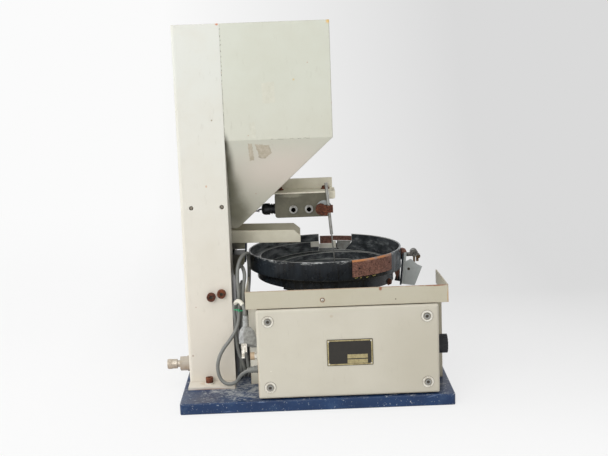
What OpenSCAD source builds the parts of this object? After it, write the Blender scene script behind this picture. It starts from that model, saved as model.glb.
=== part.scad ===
// Vibratory bowl feeder on a base plate: a column carries a supply hopper and
// an in-line tray, the tray drops parts into a stepped bowl on a torsion drive,
// a level switch hangs its wand in the bowl, and a controller stands in front.
// Origin at the centre of the base plate's underside, +Z up, +X to the right
// seen from the controller, +Y to the back. Millimetres.

/* [Base plate] */
// Width of the base plate, left to right
base_w = 457.2; // [457.2:0.1:560]
// Depth of the base plate, front to back
base_d = 381; // [381:0.5:460]
// Thickness of the base plate
base_t = 19.05; // [12:0.05:25]
// Radius of the plate's upright corners
base_corner_r = 6; // [3:0.5:14]
// Radius along the plate's top and bottom edges
base_edge_r = 2; // [1:0.25:3]

/* [Column] */
// Width of the folded column
column_w = 80.7; // [78:0.1:90]
// Height of the column and hopper above the base plate
column_h = 617.25; // [600:0.25:680]
// Distance of the column from the base plate's left edge
column_inset = 8.3; // [4:0.1:12]
// Sheet thickness of the column
column_sheet = 3; // [2:0.25:4]
// Outside radius of the column's folds
column_bend_r = 6; // [5:0.5:10]
// Depth of the column and of the hopper
tower_d = 222.6; // [210:0.1:230]
// Thickness of the foot plate under the column
foot_t = 4.8; // [3:0.1:8]
// How far the foot plate reaches past the column, front and back
foot_reach = 31.7; // [28:0.1:36]

/* [Hopper] */
// Width of the hopper
hopper_w = 182; // [160:1:200]
// Height of the hopper's upright walls
hopper_h = 194.3; // [150:0.1:220]
// Sheet thickness of the hopper
hopper_sheet = 2; // [1:0.25:3]
// Width of the hopper's outlet
outlet_w = 54; // [46:1:56]
// Depth of the hopper's outlet
outlet_d = 54; // [44:1:60]
// How far the outlet reaches out of the column
outlet_reach = 11.3; // [8:0.1:16]
// Height of the hopper's outlet above the tray
outlet_gap = 3; // [3:0.5:8]

/* [Bowl] */
// Bowl axis to the right of the base plate's centre
bowl_x = 25; // [25:0.5:32]
// Bowl axis behind the base plate's centre
bowl_y = 24.5; // [24.5:0.5:30]
// Outside radius of the bowl's upper band
bowl_r = 137.5; // [133:0.1:138]
// Outside radius of the bowl's lower band
skirt_r = 123; // [118:0.1:125]
// Wall thickness of the bowl
bowl_wall = 2.5; // [2:0.25:3]
// Height of the bowl's rim above the base plate
rim_h = 213.8; // [212:0.1:216]
// Height of the upper band at the bowl's axis
band_h = 33; // [31:0.5:35]
// Height of the lower band at the bowl's axis
skirt_h = 20.5; // [18:0.5:21]
// Fall of the upper band's lower edge to the right, in degrees
band_tilt = 1.7; // [0:0.1:2]
// Fall of the lower band's lower edge to the right, in degrees
skirt_tilt = 3; // [0:0.1:3]
// Depth of the bowl's floor below its rim
bowl_depth = 42.8; // [42:0.1:44]
// Rise of the floor's dome at its centre
dome_h = 5; // [3:0.5:7]
// Climb of the spiral track in one turn
track_pitch = 25.5; // [22:0.5:27]
// Sheet thickness of the spiral track
track_t = 2.5; // [2:0.25:3]

/* [Bowl drive] */
// Diameter of the rubber isolators
isolator_d = 32; // [24:1:36]
// Height of the rubber isolators
isolator_h = 20; // [15:1:24]
// Radius of the base casting's disc
casting_r = 60; // [54:1:62]
// Height of the base casting's disc
casting_h = 32; // [26:1:34]
// Height of the top casting's disc
crown_h = 16; // [12:1:18]
// Lean of the leaf springs from upright, in degrees
spring_lean = 20; // [12:1:22]
// Thickness of a leaf spring
spring_t = 3; // [2:0.25:4]
// Width of a leaf spring
spring_w = 36; // [30:1:38]
// Length of a leaf spring
spring_l = 112; // [104:1:114]
// Air gap between the coil and its armature
air_gap = 2; // [1:0.25:3]

/* [In-line tray] */
// Width of the tray
tray_w = 74; // [66:1:76]
// Height of the tray's walls
tray_h = 22.3; // [18:0.1:24]
// Sheet thickness of the tray
tray_sheet = 2; // [1.5:0.25:3]
// Distance of the tray's end from the bowl's axis
tray_end = 43; // [40:1:60]
// Height of the tray's underside above the bowl's rim, at the tray's middle
tray_over_rim = 20; // [19:0.5:26]
// Fall of the tray to its free end, in degrees
tray_fall = 1.4; // [0:0.1:2]
// Lean of the tray's leaf springs from upright, in degrees
tray_spring_lean = 4; // [0:1:6]

/* [Level switch] */
// Width of the switch housing
switch_w = 96.5; // [90:0.5:98]
// Depth of the switch housing with its cover
switch_d = 46.5; // [42:0.5:48]
// Height of the switch housing
switch_h = 42.5; // [40:0.5:44]
// Height of the switch housing's underside above the bowl's rim
switch_over_rim = 60.7; // [58:0.1:66]
// Thickness of the switch's angle bracket
bracket_t = 2.5; // [2:0.25:3]
// Diameter of the wand's rod
rod_d = 5.5; // [5:0.1:6.5]
// Diameter of the wand's wire
wire_d = 2.4; // [2:0.1:3]
// Lean of the wand from upright, in degrees
wand_lean = 4.5; // [0:0.5:6]

/* [Guard and controller] */
// Width of the guard
guard_w = 332.6; // [326:0.1:334]
// Height of the guard's shelf above the base plate
shelf_h = 154.65; // [154.65:0.05:157]
// Height of the guard's front lip
lip_h = 29.4; // [20:0.1:32]
// Sheet thickness of the guard
guard_sheet = 2; // [1.5:0.25:2.5]
// Width of the controller's cover
box_w = 300.2; // [290:0.1:304]
// Height of the controller's cover
box_h = 151; // [146:0.5:151]
// Depth of the controller's cover
cover_d = 14; // [12:0.5:20]
// Corner radius of the controller's cover
cover_r = 5; // [4:0.5:8]
// Radius along the cover's front edges
cover_edge_r = 4; // [2:0.5:4.5]
// Wall thickness of the controller's box and cover
box_wall = 2.5; // [2:0.25:3]
// Diameter of the speed knob
knob_d = 32; // [24:1:34]
// Length of the speed knob
knob_l = 15; // [12:0.5:17]
// Width of the blank nameplate
nameplate_w = 76; // [60:1:90]
// Height of the blank nameplate
nameplate_h = 44.5; // [36:0.5:56]

/* [Power cord] */
// Diameter of the power cord
cord_d = 6.4; // [6:0.1:6.4]

/* [Hidden] */
$fn = 64;

// Clearances that tie neighbouring pieces together
seat = 0.3;      // gap of a piece that sits beside a curved or moving neighbour
run_gap = 0.05;  // radial gap of a shaft or a rod in its hole, and of a spring at its seat
slip = 3;        // gap of a moving piece that passes through an opening
hole_gap = 0.5;  // radial gap of a fastener in its hole

// Base plate and column
plate_top = base_t;
plate_front = -base_d / 2;
foot_top = plate_top + foot_t;
col_x0 = -base_w / 2 + column_inset;
col_x1 = col_x0 + column_w;
tower_y0 = bowl_y - tower_d / 2;
tower_y1 = bowl_y + tower_d / 2;
tower_top = plate_top + column_h;
col_flange = 18;
col_mid = (col_x0 + col_x1) / 2;
sight_hole_r = 3.6;
sight_hole_z = 306.2;
m8_r = 4;
m8_head_r = 6.4;
m8_head_h = 9;
foot_bolt_x = col_x0 + 35.3;
foot_bolt_out = 10.7;
washer_r = 8.5;
washer_t = 1.6;

// Bowl levels
rim_z = plate_top + rim_h;
band_z = rim_z - band_h;
skirt_z = band_z - skirt_h;
floor_z = rim_z - bowl_depth;
floor_t = 3;
hub_z = floor_z + dome_h - floor_t;
dome_r = 80;
hub_r = 18;
stud_r = 6;
notch_from = 66;
notch_to = 93;
notch_z = floor_z + 15;
notch_low = floor_z + 12;

// In-line tray
tray_z = rim_z + tray_over_rim;
tray_top = tray_z + tray_h;
out_z = tray_top + outlet_gap;
out_x1 = col_x1 + outlet_reach;
out_x0 = out_x1 - outlet_w;
tray_x0 = out_x0 - 18;
tray_x1 = bowl_x - tray_end;
tray_chamfer_x = 12;
tray_chamfer_z = 9.5;

// Hopper
hop_z0 = tower_top - hopper_h;
hop_x1 = col_x1 + hopper_w;
knee_z = out_z + 67;
function rise(z) = (z - out_z) / (hop_z0 - out_z);
function slope_x(z) = out_x1 + (hop_x1 - out_x1) * rise(z);
function slope_y(z) = outlet_d / 2 + (tower_d - outlet_d) / 2 * rise(z);

// Guard and controller, from the front of the base plate
cover_front = plate_front + 4.8;
cover_left = 121.9; // distance of the cover's left edge from the bowl's axis
cover_x0 = bowl_x - cover_left;
cover_x1 = cover_x0 + box_w;
box_z0 = plate_top + 1.9;
box_z1 = box_z0 + box_h;
box_inset = 1.9;
guard_x0 = cover_x0 - 15.9;
guard_x1 = guard_x0 + guard_w;
lip_front = cover_front + 3.2;
controller_d = 89.6;
panel_front = cover_front + controller_d;
panel_back = panel_front + guard_sheet;
shelf_z = plate_top + shelf_h;
flange_back = panel_back + 56;
flange_fall = 6;
guard_foot = 20;
box_back = panel_front - 0.2;
box_front = cover_front + cover_d;
box_mid_z = (box_z0 + box_z1) / 2;
cover_screw_x = 19.5;
cover_screw_z = 19.5;
ring_r = 9.5;
ring_h = 1.2;
knob_y = cover_front + 40.2;
knob_z = box_z0 + 72.5;
knob_gap = 3;
pot_shaft_r = 3;
cord_exit_y = cover_front + 35.7;
cord_exit_z = 62;
relief_l = 9;
fuse_y = cover_front + 39.7;
fuse_z = box_z0 + 63;

// ---------------------------------------------------------------- helpers

// Upright slab between two corners
module slab(a, b) translate(a) cube(b - a);

// Flat outline of a rectangle with rounded corners, from its lower left corner
module round_rect(w, h, r) {
    translate([r, 0]) square([w - 2 * r, h]);
    translate([0, r]) square([w, h - 2 * r]);
    for (x = [r, w - r], y = [r, h - r]) translate([x, y]) circle(r);
}

// Box with softened edges, made where three rounded bars cross
module soft_box(size, corner_r, edge_r) intersection() {
    linear_extrude(size.z) round_rect(size.x, size.y, corner_r);
    translate([0, size.y, 0]) rotate([90, 0, 0])
        linear_extrude(size.y) round_rect(size.x, size.z, edge_r);
    rotate([90, 0, 90]) linear_extrude(size.x) round_rect(size.y, size.z, edge_r);
}

// Solid of a flat outline given in X and Z, between two depths
module in_xz(y0, y1) translate([0, y1, 0]) rotate([90, 0, 0]) linear_extrude(y1 - y0) children();

// Round bar along X, Y or Z from a start point
module bar_x(p, r, l) translate(p) rotate([0, 90, 0]) cylinder(r = r, h = l);
module bar_y(p, r, l) translate(p) rotate([-90, 0, 0]) cylinder(r = r, h = l);
module bar_z(p, r, l) translate(p) cylinder(r = r, h = l);

// Ring between two radii
module tube(r_out, r_in, h) difference() {
    cylinder(r = r_out, h = h);
    translate([0, 0, -1]) cylinder(r = r_in, h = h + 2);
}

// Cap screw with a hexagon socket, its head standing on the face z = 0
module cap_screw(r, head_r, head_h, shank) difference() {
    union() {
        cylinder(r = head_r, h = head_h);
        translate([0, 0, -shank]) cylinder(r = r, h = shank + 1);
    }
    translate([0, 0, head_h * 0.45]) cylinder(r = head_r * 0.5, h = head_h, $fn = 6);
}

// Hexagon-head bolt, its head standing on the face z = 0
module hex_bolt(r, flats, head_h, shank) {
    cylinder(r = flats / 2 / cos(30), h = head_h, $fn = 6);
    translate([0, 0, -shank]) cylinder(r = r, h = shank + 1);
}

// Tube swept along points: a ring square to the path at each one
function unit(v) = v / norm(v);
function heading(p, i) = unit(p[min(i + 1, len(p) - 1)] - p[max(i - 1, 0)]);
function side(d) = unit(cross(abs(d.z) > 0.9 ? [0, 1, 0] : [0, 0, 1], d));
function carried(p, i, s) = unit(s - (s * heading(p, i)) * heading(p, i));
function sides_along(p) = [for (i = 0, s = side(heading(p, 0)); i < len(p);
    i = i + 1, s = i < len(p) ? carried(p, i, s) : s) s];
module sweep_tube(p, r, n) {
    s = sides_along(p);
    ring = [for (i = [0 : len(p) - 1], k = [0 : n - 1]) let (d = heading(p, i))
        p[i] + r * (cos(360 * k / n) * s[i] + sin(360 * k / n) * cross(d, s[i]))];
    last = (len(p) - 1) * n;
    polyhedron(ring, concat(
        [[for (k = [0 : n - 1]) k]],
        [for (i = [0 : len(p) - 2], k = [0 : n - 1]) let (j = (k + 1) % n)
            [i * n + k, (i + 1) * n + k, (i + 1) * n + j, i * n + j]],
        [[for (k = [n - 1 : -1 : 0]) last + k]]));
}

// ------------------------------------------------------------- base plate

module base_plate() color("#3C5686") difference() {
    translate([-base_w / 2, -base_d / 2, 0])
        soft_box([base_w, base_d, base_t], base_corner_r, base_edge_r);
    for (y = foot_bolt_ys()) bar_z([foot_bolt_x, y, plate_top - 14], m8_r + hole_gap, 20);
}

function foot_bolt_ys() = [tower_y0 - foot_bolt_out, tower_y1 + foot_bolt_out];

// ----------------------------------------------------------------- column

module column_foot() color("#D8D0C0") difference() {
    slab([col_x0, tower_y0 - foot_reach, plate_top], [col_x1, tower_y1 + foot_reach, foot_top]);
    for (y = foot_bolt_ys()) bar_z([foot_bolt_x, y, plate_top - 1], m8_r + hole_gap, foot_t + 2);
}

// Outline rounded on its left and square on its right, where the hopper joins
module folded_rect(w, d, r) {
    round_rect(w, d, r);
    translate([w / 2, 0]) square([w / 2, d]);
}

// Folded channel, open at the back between two return flanges
module column_outline() difference() {
    translate([col_x0, tower_y0]) folded_rect(column_w, tower_d, column_bend_r);
    translate([col_x0 + column_sheet, tower_y0 + column_sheet])
        folded_rect(column_w - 2 * column_sheet, tower_d - 2 * column_sheet,
            column_bend_r - column_sheet);
    translate([col_x0 + col_flange, tower_y1 - 2 * column_sheet])
        square([column_w - 2 * col_flange, 3 * column_sheet]);
}

// Outline, in Y and Z, of the opening that the hopper's throat and the tray pass
module column_window() {
    polygon([for (e = [[-1, out_z - 5], [1, out_z - 5], [1, knee_z + slip], [-1, knee_z + slip]])
        [bowl_y + e[0] * (slope_y(e[1]) + slip), e[1]]]);
    translate([bowl_y - tray_w / 2 - slip, shelf_top])
        square([tray_w + 2 * slip, out_z - shelf_top]);
}

module column() color("#E0DCD0") difference() {
    translate([0, 0, foot_top]) linear_extrude(tower_top - foot_top) column_outline();
    translate([col_x1 - 2 * column_sheet, 0, 0]) rotate([90, 0, 90])
        linear_extrude(3 * column_sheet) column_window();
    for (x = [col_x0 + 18.7, col_x1 - 10.2])
        bar_y([x, tower_y0 - 1, foot_top + sight_hole_z], sight_hole_r, column_sheet + 2);
    for (p = shelf_screw_at) bar_y([p.x, tower_y0 - 1, p.y], m8_r + hole_gap, column_sheet + 2);
    bar_x([col_x0 - 1, fitting_y, fitting_z], fitting_thread_r + hole_gap, column_sheet + 2);
    bar_x([col_x1 - column_sheet - 1, cable_hole_y, cable_hole_z], cable_r + 2, column_sheet + 2);
    for (p = back_screw_at) bar_y([p.x, tower_y1 - column_sheet - 1, p.y], m4_r + hole_gap,
        column_sheet + 2);
}

m4_r = 2;
back_sheet = 1.5;
back_inset = 9;
back_screw_at = [for (x = [col_x0 + back_inset, col_x1 - back_inset],
    z = [foot_top + 20, (foot_top + tower_top) / 2, tower_top - 20]) [x, z]];

module column_cover() color("#D8D0C0") difference() {
    slab([col_x0 + 1, tower_y1, foot_top + 1], [col_x1 - 1, tower_y1 + back_sheet, tower_top]);
    for (p = back_screw_at) bar_y([p.x, tower_y1 - 1, p.y], m4_r + hole_gap, back_sheet + 2);
}

module cover_plate_screws() color("#8A8A86") for (p = back_screw_at)
    translate([p.x, tower_y1 + back_sheet, p.y]) rotate([-90, 0, 0]) {
        cylinder(r = 3.6, h = 2.4);
        translate([0, 0, -8]) cylinder(r = m4_r, h = 9);
    }

module foot_bolts() color("#7A4030") for (y = foot_bolt_ys())
    translate([foot_bolt_x, y, foot_top + washer_t]) cap_screw(m8_r, m8_head_r, m8_head_h, 17);

module foot_washers() color("#D8D0C0") for (y = foot_bolt_ys())
    translate([foot_bolt_x, y, foot_top]) tube(washer_r, m8_r + run_gap, washer_t);

// ----------------------------------------------------------------- hopper

// Four corners of the hopper's section at one level, drawn in by an inset
function hop_ring(x0, x1, half, z, inset) = [
    [x0 + inset, bowl_y - half + inset, z], [x1 - inset, bowl_y - half + inset, z],
    [x1 - inset, bowl_y + half - inset, z], [x0 + inset, bowl_y + half - inset, z]];
function hop_levels(inset) = [
    hop_ring(out_x0, out_x1, outlet_d / 2, out_z, inset),
    hop_ring(col_x1, slope_x(knee_z), slope_y(knee_z), knee_z, inset),
    hop_ring(col_x1, hop_x1, tower_d / 2, hop_z0, inset),
    hop_ring(col_x1, hop_x1, tower_d / 2, tower_top, inset)];

module hopper() color("#D5D6C8") {
    outer = hop_levels(0);
    inner = hop_levels(hopper_sheet);
    rings = concat(outer, [for (i = [len(inner) - 1 : -1 : 0]) inner[i]]);
    n = len(rings);
    polyhedron([for (ring = rings, corner = ring) corner],
        [for (i = [0 : n - 1], k = [0 : 3]) let (j = (i + 1) % n, m = (k + 1) % 4)
            [i * 4 + k, j * 4 + k, j * 4 + m, i * 4 + m]]);
}

// ------------------------------------------------------------ in-line tray

shelf_t = 4;
tray_drive_h = 60.8; // height of the tray's drive, from its shelf to the tray
shelf_top = tray_z - tray_drive_h;
shelf_leg = 34;
shelf_x0 = col_x0 + column_sheet + 10;
shelf_x1 = col_x1 - column_sheet - 3;
shelf_screw_at = [[col_x0 + 44.9, shelf_top - 17], [col_x0 + 62.9, shelf_top - 12]];
drive_w = 50;
nose_x = out_x1 + 8.3;
riser_top = shelf_top + 37;
carriage_h = 14;
carriage_z = tray_z - carriage_h;
leaf_z = shelf_top + 22;
leaf_t = 2.5;
leaf_w = 36;
leaf_end = tray_z - 4;
function lean_x(x, z) = x + (z - leaf_z) * tan(tray_spring_lean);
tray_mid = (tray_x0 + tray_x1) / 2;
function under_tray(x) = tray_z - (x - tray_mid) * tan(tray_fall);
tail_x = out_x0 - 20;

module tray_shelf() color("#8A8670") difference() {
    union() {
        slab([shelf_x0, tower_y0 + column_sheet, shelf_top - shelf_t],
            [shelf_x1, bowl_y + drive_w / 2 + 8, shelf_top]);
        slab([shelf_x0, tower_y0 + column_sheet, shelf_top - shelf_leg],
            [shelf_x1, tower_y0 + column_sheet + shelf_t, shelf_top]);
    }
    for (p = shelf_screw_at) bar_y([p.x, tower_y0, p.y], m8_r + run_gap, 12);
}

module shelf_screws() color("#7A4030") for (p = shelf_screw_at)
    translate([p.x, tower_y0, p.y]) rotate([90, 0, 0]) cap_screw(m8_r, 7.5, 8, 11);

// Cast cradle with a riser at each end and a nose that stands out of the column
module tray_drive_base() color("#6E6C5C") in_xz(bowl_y - drive_w / 2, bowl_y + drive_w / 2)
    polygon([[lean_x(tail_x, shelf_top), shelf_top], [nose_x - 20, shelf_top],
        [lean_x(nose_x, leaf_z - 1), leaf_z - 1], [lean_x(nose_x, riser_top), riser_top],
        [nose_x - 20, riser_top], [nose_x - 20, shelf_top + 12], [tail_x + 12, shelf_top + 12],
        [tail_x + 12, riser_top], [lean_x(tail_x, riser_top), riser_top]]);

module tray_springs() color("#1E2226")
    in_xz(bowl_y - leaf_w / 2, bowl_y + leaf_w / 2) for (x = [tail_x - leaf_t - run_gap, nose_x + run_gap])
        polygon([[x, leaf_z], [x + leaf_t, leaf_z],
            [lean_x(x + leaf_t, leaf_end), leaf_end], [lean_x(x, leaf_end), leaf_end]]);

module tray_coil() color("#7A4030") {
    slab([tail_x + 16, bowl_y - 16, shelf_top + 12], [tail_x + 40, bowl_y + 16, shelf_top + 40]);
}

// Cast bar under the tray, with the armature that faces the coil
module tray_carriage() color("#8A8670") in_xz(bowl_y - 20, bowl_y + 20)
    polygon([[lean_x(tail_x, carriage_z), carriage_z],
        [tail_x + 40 + air_gap, carriage_z], [tail_x + 40 + air_gap, shelf_top + 15],
        [tail_x + 46 + air_gap, shelf_top + 15], [tail_x + 46 + air_gap, carriage_z],
        [lean_x(nose_x, carriage_z), carriage_z], [lean_x(nose_x, leaf_end), leaf_end],
        [lean_x(nose_x, leaf_end), under_tray(nose_x) - 0.2],
        [lean_x(tail_x, leaf_end), under_tray(tail_x) - 0.2], [lean_x(tail_x, leaf_end), leaf_end]]);

// Folded trough with its free end's upper corners cut off
module tray() color("#C9C3AF") translate([tray_mid, 0, tray_z]) rotate([0, tray_fall, 0]) {
    y0 = bowl_y - tray_w / 2;
    y1 = bowl_y + tray_w / 2;
    half = (tray_x1 - tray_x0) / 2;
    slab([-half, y0, 0], [half, y1, tray_sheet]);
    for (y = [y0, y1 - tray_sheet]) in_xz(y, y + tray_sheet)
        polygon([[-half, 0], [half, 0], [half, tray_h - tray_chamfer_z],
            [half - tray_chamfer_x, tray_h], [-half, tray_h]]);
    slab([-half, y0, 0], [tray_sheet - half, y1, tray_h]);
}

// -------------------------------------------------------------- bowl drive

iso_top = plate_top + isolator_h;
cast_top = iso_top + casting_h;
spring_mid = (iso_top + 16 + hub_z - 37.5) / 2;
pack_r = casting_r + 24;
pack_angles = [45, 135, 225, 315];
lug_in = 34;
lug_w = 20;
lug_l = 24;
crown_top = hub_z - 30;
crown_z = crown_top - crown_h;
coil_top = cast_top + 39;

// Places children in a spring pack's own frame: X outward, Z along the leaf
module packs() translate([bowl_x, bowl_y, 0]) for (a = pack_angles) rotate([0, 0, a])
    translate([pack_r, 0, spring_mid]) rotate([spring_lean, 0, 0]) children();

// Lug that a leaf's end is bolted to, on one side of the leaf
module lug(side) translate([-lug_in, side > 0 ? spring_t / 2 : -spring_t / 2 - lug_w,
    side > 0 ? spring_l / 2 - lug_l : -spring_l / 2]) cube([lug_in + spring_w / 2, lug_w, lug_l]);

module drive_isolators() color("#1C1C1C") translate([bowl_x, bowl_y, plate_top])
    for (a = pack_angles + [45, 45, 45, 45]) rotate([0, 0, a])
        translate([casting_r - isolator_d / 2 - 1, 0, 0]) cylinder(r = isolator_d / 2, h = isolator_h);

module drive_base() color("#22252A") {
    translate([bowl_x, bowl_y, iso_top]) cylinder(r = casting_r, h = casting_h);
    packs() lug(-1);
}

core_w = 46;
module drive_core() color("#55575A") translate([bowl_x - core_w / 2, bowl_y - 20, cast_top])
    difference() {
        cube([core_w, 40, coil_top - cast_top]);
        for (x = [8, core_w - 8 - 9]) translate([x, -1, 8]) cube([9, 42, 40]);
    }

module drive_coil() color("#8A5040") translate([bowl_x, bowl_y, cast_top + 8 + seat])
    difference() {
        translate([-14.7, -28, 0]) soft_box([29.4, 56, 28], 4, 2);
        translate([-core_w / 2 + 17 - seat, -20 - seat, -1])
            cube([core_w - 34 + 2 * seat, 40 + 2 * seat, 40]);
    }

module armature() color("#55575A") {
    slab([bowl_x - 26, bowl_y - 22, coil_top + air_gap], [bowl_x + 26, bowl_y + 22, coil_top + air_gap + 8]);
    for (x = [-18, 18]) bar_z([bowl_x + x, bowl_y, coil_top + air_gap + 7], 5,
        crown_z - coil_top - air_gap - 7);
}

// Top casting: disc, four lugs and the boss that the bowl sits on
module drive_crown() color("#22252A") difference() {
    union() {
        translate([bowl_x, bowl_y, crown_z]) cylinder(r = casting_r - 2, h = crown_h);
        bar_z([bowl_x, bowl_y, crown_top - 1], hub_r, hub_z - crown_top + 1);
        packs() lug(1);
    }
    bar_z([bowl_x, bowl_y, hub_z - 24], stud_r + run_gap, 30);
}

module leaf_springs() color("#4A4F45") packs()
    translate([-spring_w / 2, -spring_t / 2, -spring_l / 2]) cube([spring_w, spring_t, spring_l]);

// Bar with two bolt heads that clamps one end of a leaf
clamp_t = 5;
module clamp(side) translate([0, side * spring_t / 2, side * (-spring_l + lug_l) / 2]) {
    translate([-spring_w / 2, side > 0 ? 0 : -clamp_t, -8]) cube([spring_w, clamp_t, 16]);
    for (x = [-spring_w / 4, spring_w / 4]) translate([x, side * (clamp_t - 1), 0])
        rotate([-90 * side, 0, 0]) cylinder(r = 5.5, h = 5, $fn = 6);
}
module lower_clamps() color("#3A3A38") packs() clamp(1);
module upper_clamps() color("#3A3A38") packs() clamp(-1);

// -------------------------------------------------------------------- bowl

reach = bowl_r + 60; // half-width of a block that cuts across the whole bowl
cut_h = 120;         // its height

// Half-space above a plane that falls to the right, through a level on the axis
module above(z, tilt) translate([bowl_x, bowl_y, z]) rotate([0, tilt, 0])
    translate([-reach, -reach, 0]) cube([2 * reach, 2 * reach, cut_h]);
// Sheet lying on such a plane
module sheet_at(z, tilt, t) translate([bowl_x, bowl_y, z]) rotate([0, tilt, 0])
    translate([-reach, -reach, 0]) cube([2 * reach, 2 * reach, t]);

module bowl() color("#1E2226") difference() {
    union() {
        intersection() {
            translate([bowl_x, bowl_y, band_z - 20]) tube(bowl_r, bowl_r - bowl_wall, band_h + 20);
            above(band_z, band_tilt);
        }
        intersection() {
            translate([bowl_x, bowl_y, band_z - 20]) tube(bowl_r - 0.5, skirt_r - bowl_wall, 40);
            sheet_at(band_z, band_tilt, bowl_wall);
        }
        difference() {
            translate([bowl_x, bowl_y, skirt_z - 20])
                tube(skirt_r, skirt_r - bowl_wall, skirt_h + 40);
            translate([0, 0, -cut_h / cos(skirt_tilt)]) above(skirt_z, skirt_tilt);
            above(band_z + bowl_wall / 2, band_tilt);
        }
        translate([bowl_x, bowl_y, 0]) rotate_extrude() polygon([
            [stud_r + hole_gap, hub_z], [hub_r + 2, hub_z], [dome_r, floor_z - floor_t],
            [skirt_r - bowl_wall / 2, floor_z - floor_t], [skirt_r - bowl_wall / 2, floor_z],
            [dome_r, floor_z], [hub_r + 2, hub_z + floor_t], [stud_r + hole_gap, hub_z + floor_t]]);
    }
    facing((notch_from + notch_to) / 2) in_xz(bowl_r - 10, bowl_r + 5) polygon([
        [-notch_half, notch_z], [notch_step, notch_z], [notch_step, notch_low],
        [notch_half - 14.3, notch_low], [notch_half, rim_z - 15], [notch_half, rim_z + 1],
        [-notch_half, rim_z + 1]]);
}

// Places children with Y outward from the bowl's axis at an angle and X to the right of it
module facing(a) translate([bowl_x, bowl_y, 0]) rotate([0, 0, a - 90]) children();
notch_half = bowl_r * sin((notch_to - notch_from) / 2);
notch_step = 1.7; // where the notch's floor steps down, right of its middle

// The track climbs clockwise from the floor to the notch, one strip with a
// riser under its inner edge, widening where it passes above the lower band
track_start = 235;
track_turn = track_start - notch_to + 360 - 1;
track_widen = 208;
track_widen_span = 10;
track_step = 5;
function level(t) = min(floor_z + 3 + track_pitch * t / 360, rim_z - 10.8);
function inner_r(t) = min(dome_r + 4 + 0.1 * t, skirt_r - 7);
function outer_r(t) = let (k = max(0, min(1, (t - track_widen) / track_widen_span)))
    skirt_r - bowl_wall - seat + k * (bowl_r - skirt_r);
function track_fall(t) = min(3, t / 20);
function riser_z(t) = t < 360 ? floor_z + seat : level(t - 360) + seat;
function track_ring(t) = let (a = track_start - t, z = level(t), ri = inner_r(t), ro = outer_r(t),
    foot = min(riser_z(t), z - track_t - 0.4))
    [for (q = [[ri, z], [ro, z - track_fall(t)], [ro, z - track_fall(t) - track_t],
        [ri + track_t, z - track_t], [ri + track_t, foot], [ri, foot]])
        [bowl_x + q[0] * cos(a), bowl_y + q[0] * sin(a), q[1]]];

module spiral_track() color("#1E2226") {
    steps = ceil(track_turn / track_step);
    rings = [for (i = [0 : steps]) track_ring(i * track_turn / steps)];
    n = 6;
    polyhedron([for (ring = rings, p = ring) p], concat(
        [[for (k = [0 : n - 1]) k]],
        [for (i = [0 : steps - 1], k = [0 : n - 1]) let (j = (k + 1) % n)
            [i * n + k, (i + 1) * n + k, (i + 1) * n + j, i * n + j]],
        [[for (k = [n - 1 : -1 : 0]) steps * n + k]]));
}

module bowl_bolt() color("#8A8A86") translate([bowl_x, bowl_y, hub_z + floor_t]) {
    tube(14, stud_r - 1, 2);
    translate([0, 0, 1.5]) cylinder(r = 10.4, h = 5, $fn = 6);
    translate([0, 0, -floor_t - 20]) cylinder(r = stud_r, h = floor_t + 27.8);
}

// Curved strip outside or inside the upper band
module band_strip(r0, r1, a0, a1, z0, z1) translate([bowl_x, bowl_y, z0]) rotate([0, 0, a0])
    rotate_extrude(angle = a1 - a0) translate([r0, 0]) square([r1 - r0, z1 - z0]);

patch_t = 2.2;
module patch_plate() color("#8A4A32") difference() {
    band_strip(bowl_r + seat, bowl_r + seat + patch_t, -72, -35.5, rim_z - 28.5, rim_z + 0.6);
    for (a = [-66.7, -38.9]) translate([bowl_x, bowl_y, rim_z - 14.5]) rotate([0, 0, a])
        bar_x([bowl_r - 5, 0, 0], 1.8, 15);
}

module notch_bar() color("#7A4030") {
    band_strip(bowl_r + 1, bowl_r + 4.5, notch_from - 2, notch_to - 1, rim_z - 13.6, rim_z - 4.9);
    band_strip(bowl_r + 1, bowl_r + 4.5, notch_to - 10.7, notch_to - 1, rim_z - 19.3, rim_z - 13);
}

// Two pale strips: one stands in the notch, one covers the riser at the track's end
module notch_guide() color("#C9C3AF") {
    band_strip(bowl_r - bowl_wall + 0.4, bowl_r - 0.4, notch_from + 13.2, notch_to - 0.2, notch_z,
        rim_z - 19.2);
    band_strip(bowl_r - bowl_wall + 0.4, bowl_r - 0.4, notch_from + 13.2, notch_from + 16.6,
        notch_z + 5, rim_z - 14);
    band_strip(skirt_r - 8.5, skirt_r - 7 - seat, notch_to + 0.6, notch_to + 8.8, rim_z - 21,
        rim_z - 10.6);
}

// Plate that closes the notch's right half, its lower right corner cut off
module notch_wedge() color("#9A9A94") facing(notch_from + 6.4) in_xz(bowl_r - 0.4, bowl_r + 0.2)
    polygon([[-14.8, rim_z - 13.8], [14.6, rim_z - 13.8], [14.6, rim_z - 14.6],
        [1.2, notch_low + 0.3], [-10, notch_low + 0.3], [-14.8, notch_z]]);

// --------------------------------------------------- outlet side of the bowl

outlet_x = bowl_x + bowl_r + 0.4;
outlet_y = bowl_y - 16;
plate_sheet = 2;
strip_x = outlet_x + 6.6; // top of the plate's bent edge
strip_z = rim_z - 11.8;
stay_lean = 5.5;
post_r = 1.6;
nozzle_z = rim_z - 14.2;

// Places children at the top of the plate's bent edge, Z along its lean
module outlet_frame() translate([strip_x, outlet_y, strip_z]) rotate([0, stay_lean, 0]) children();

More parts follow.
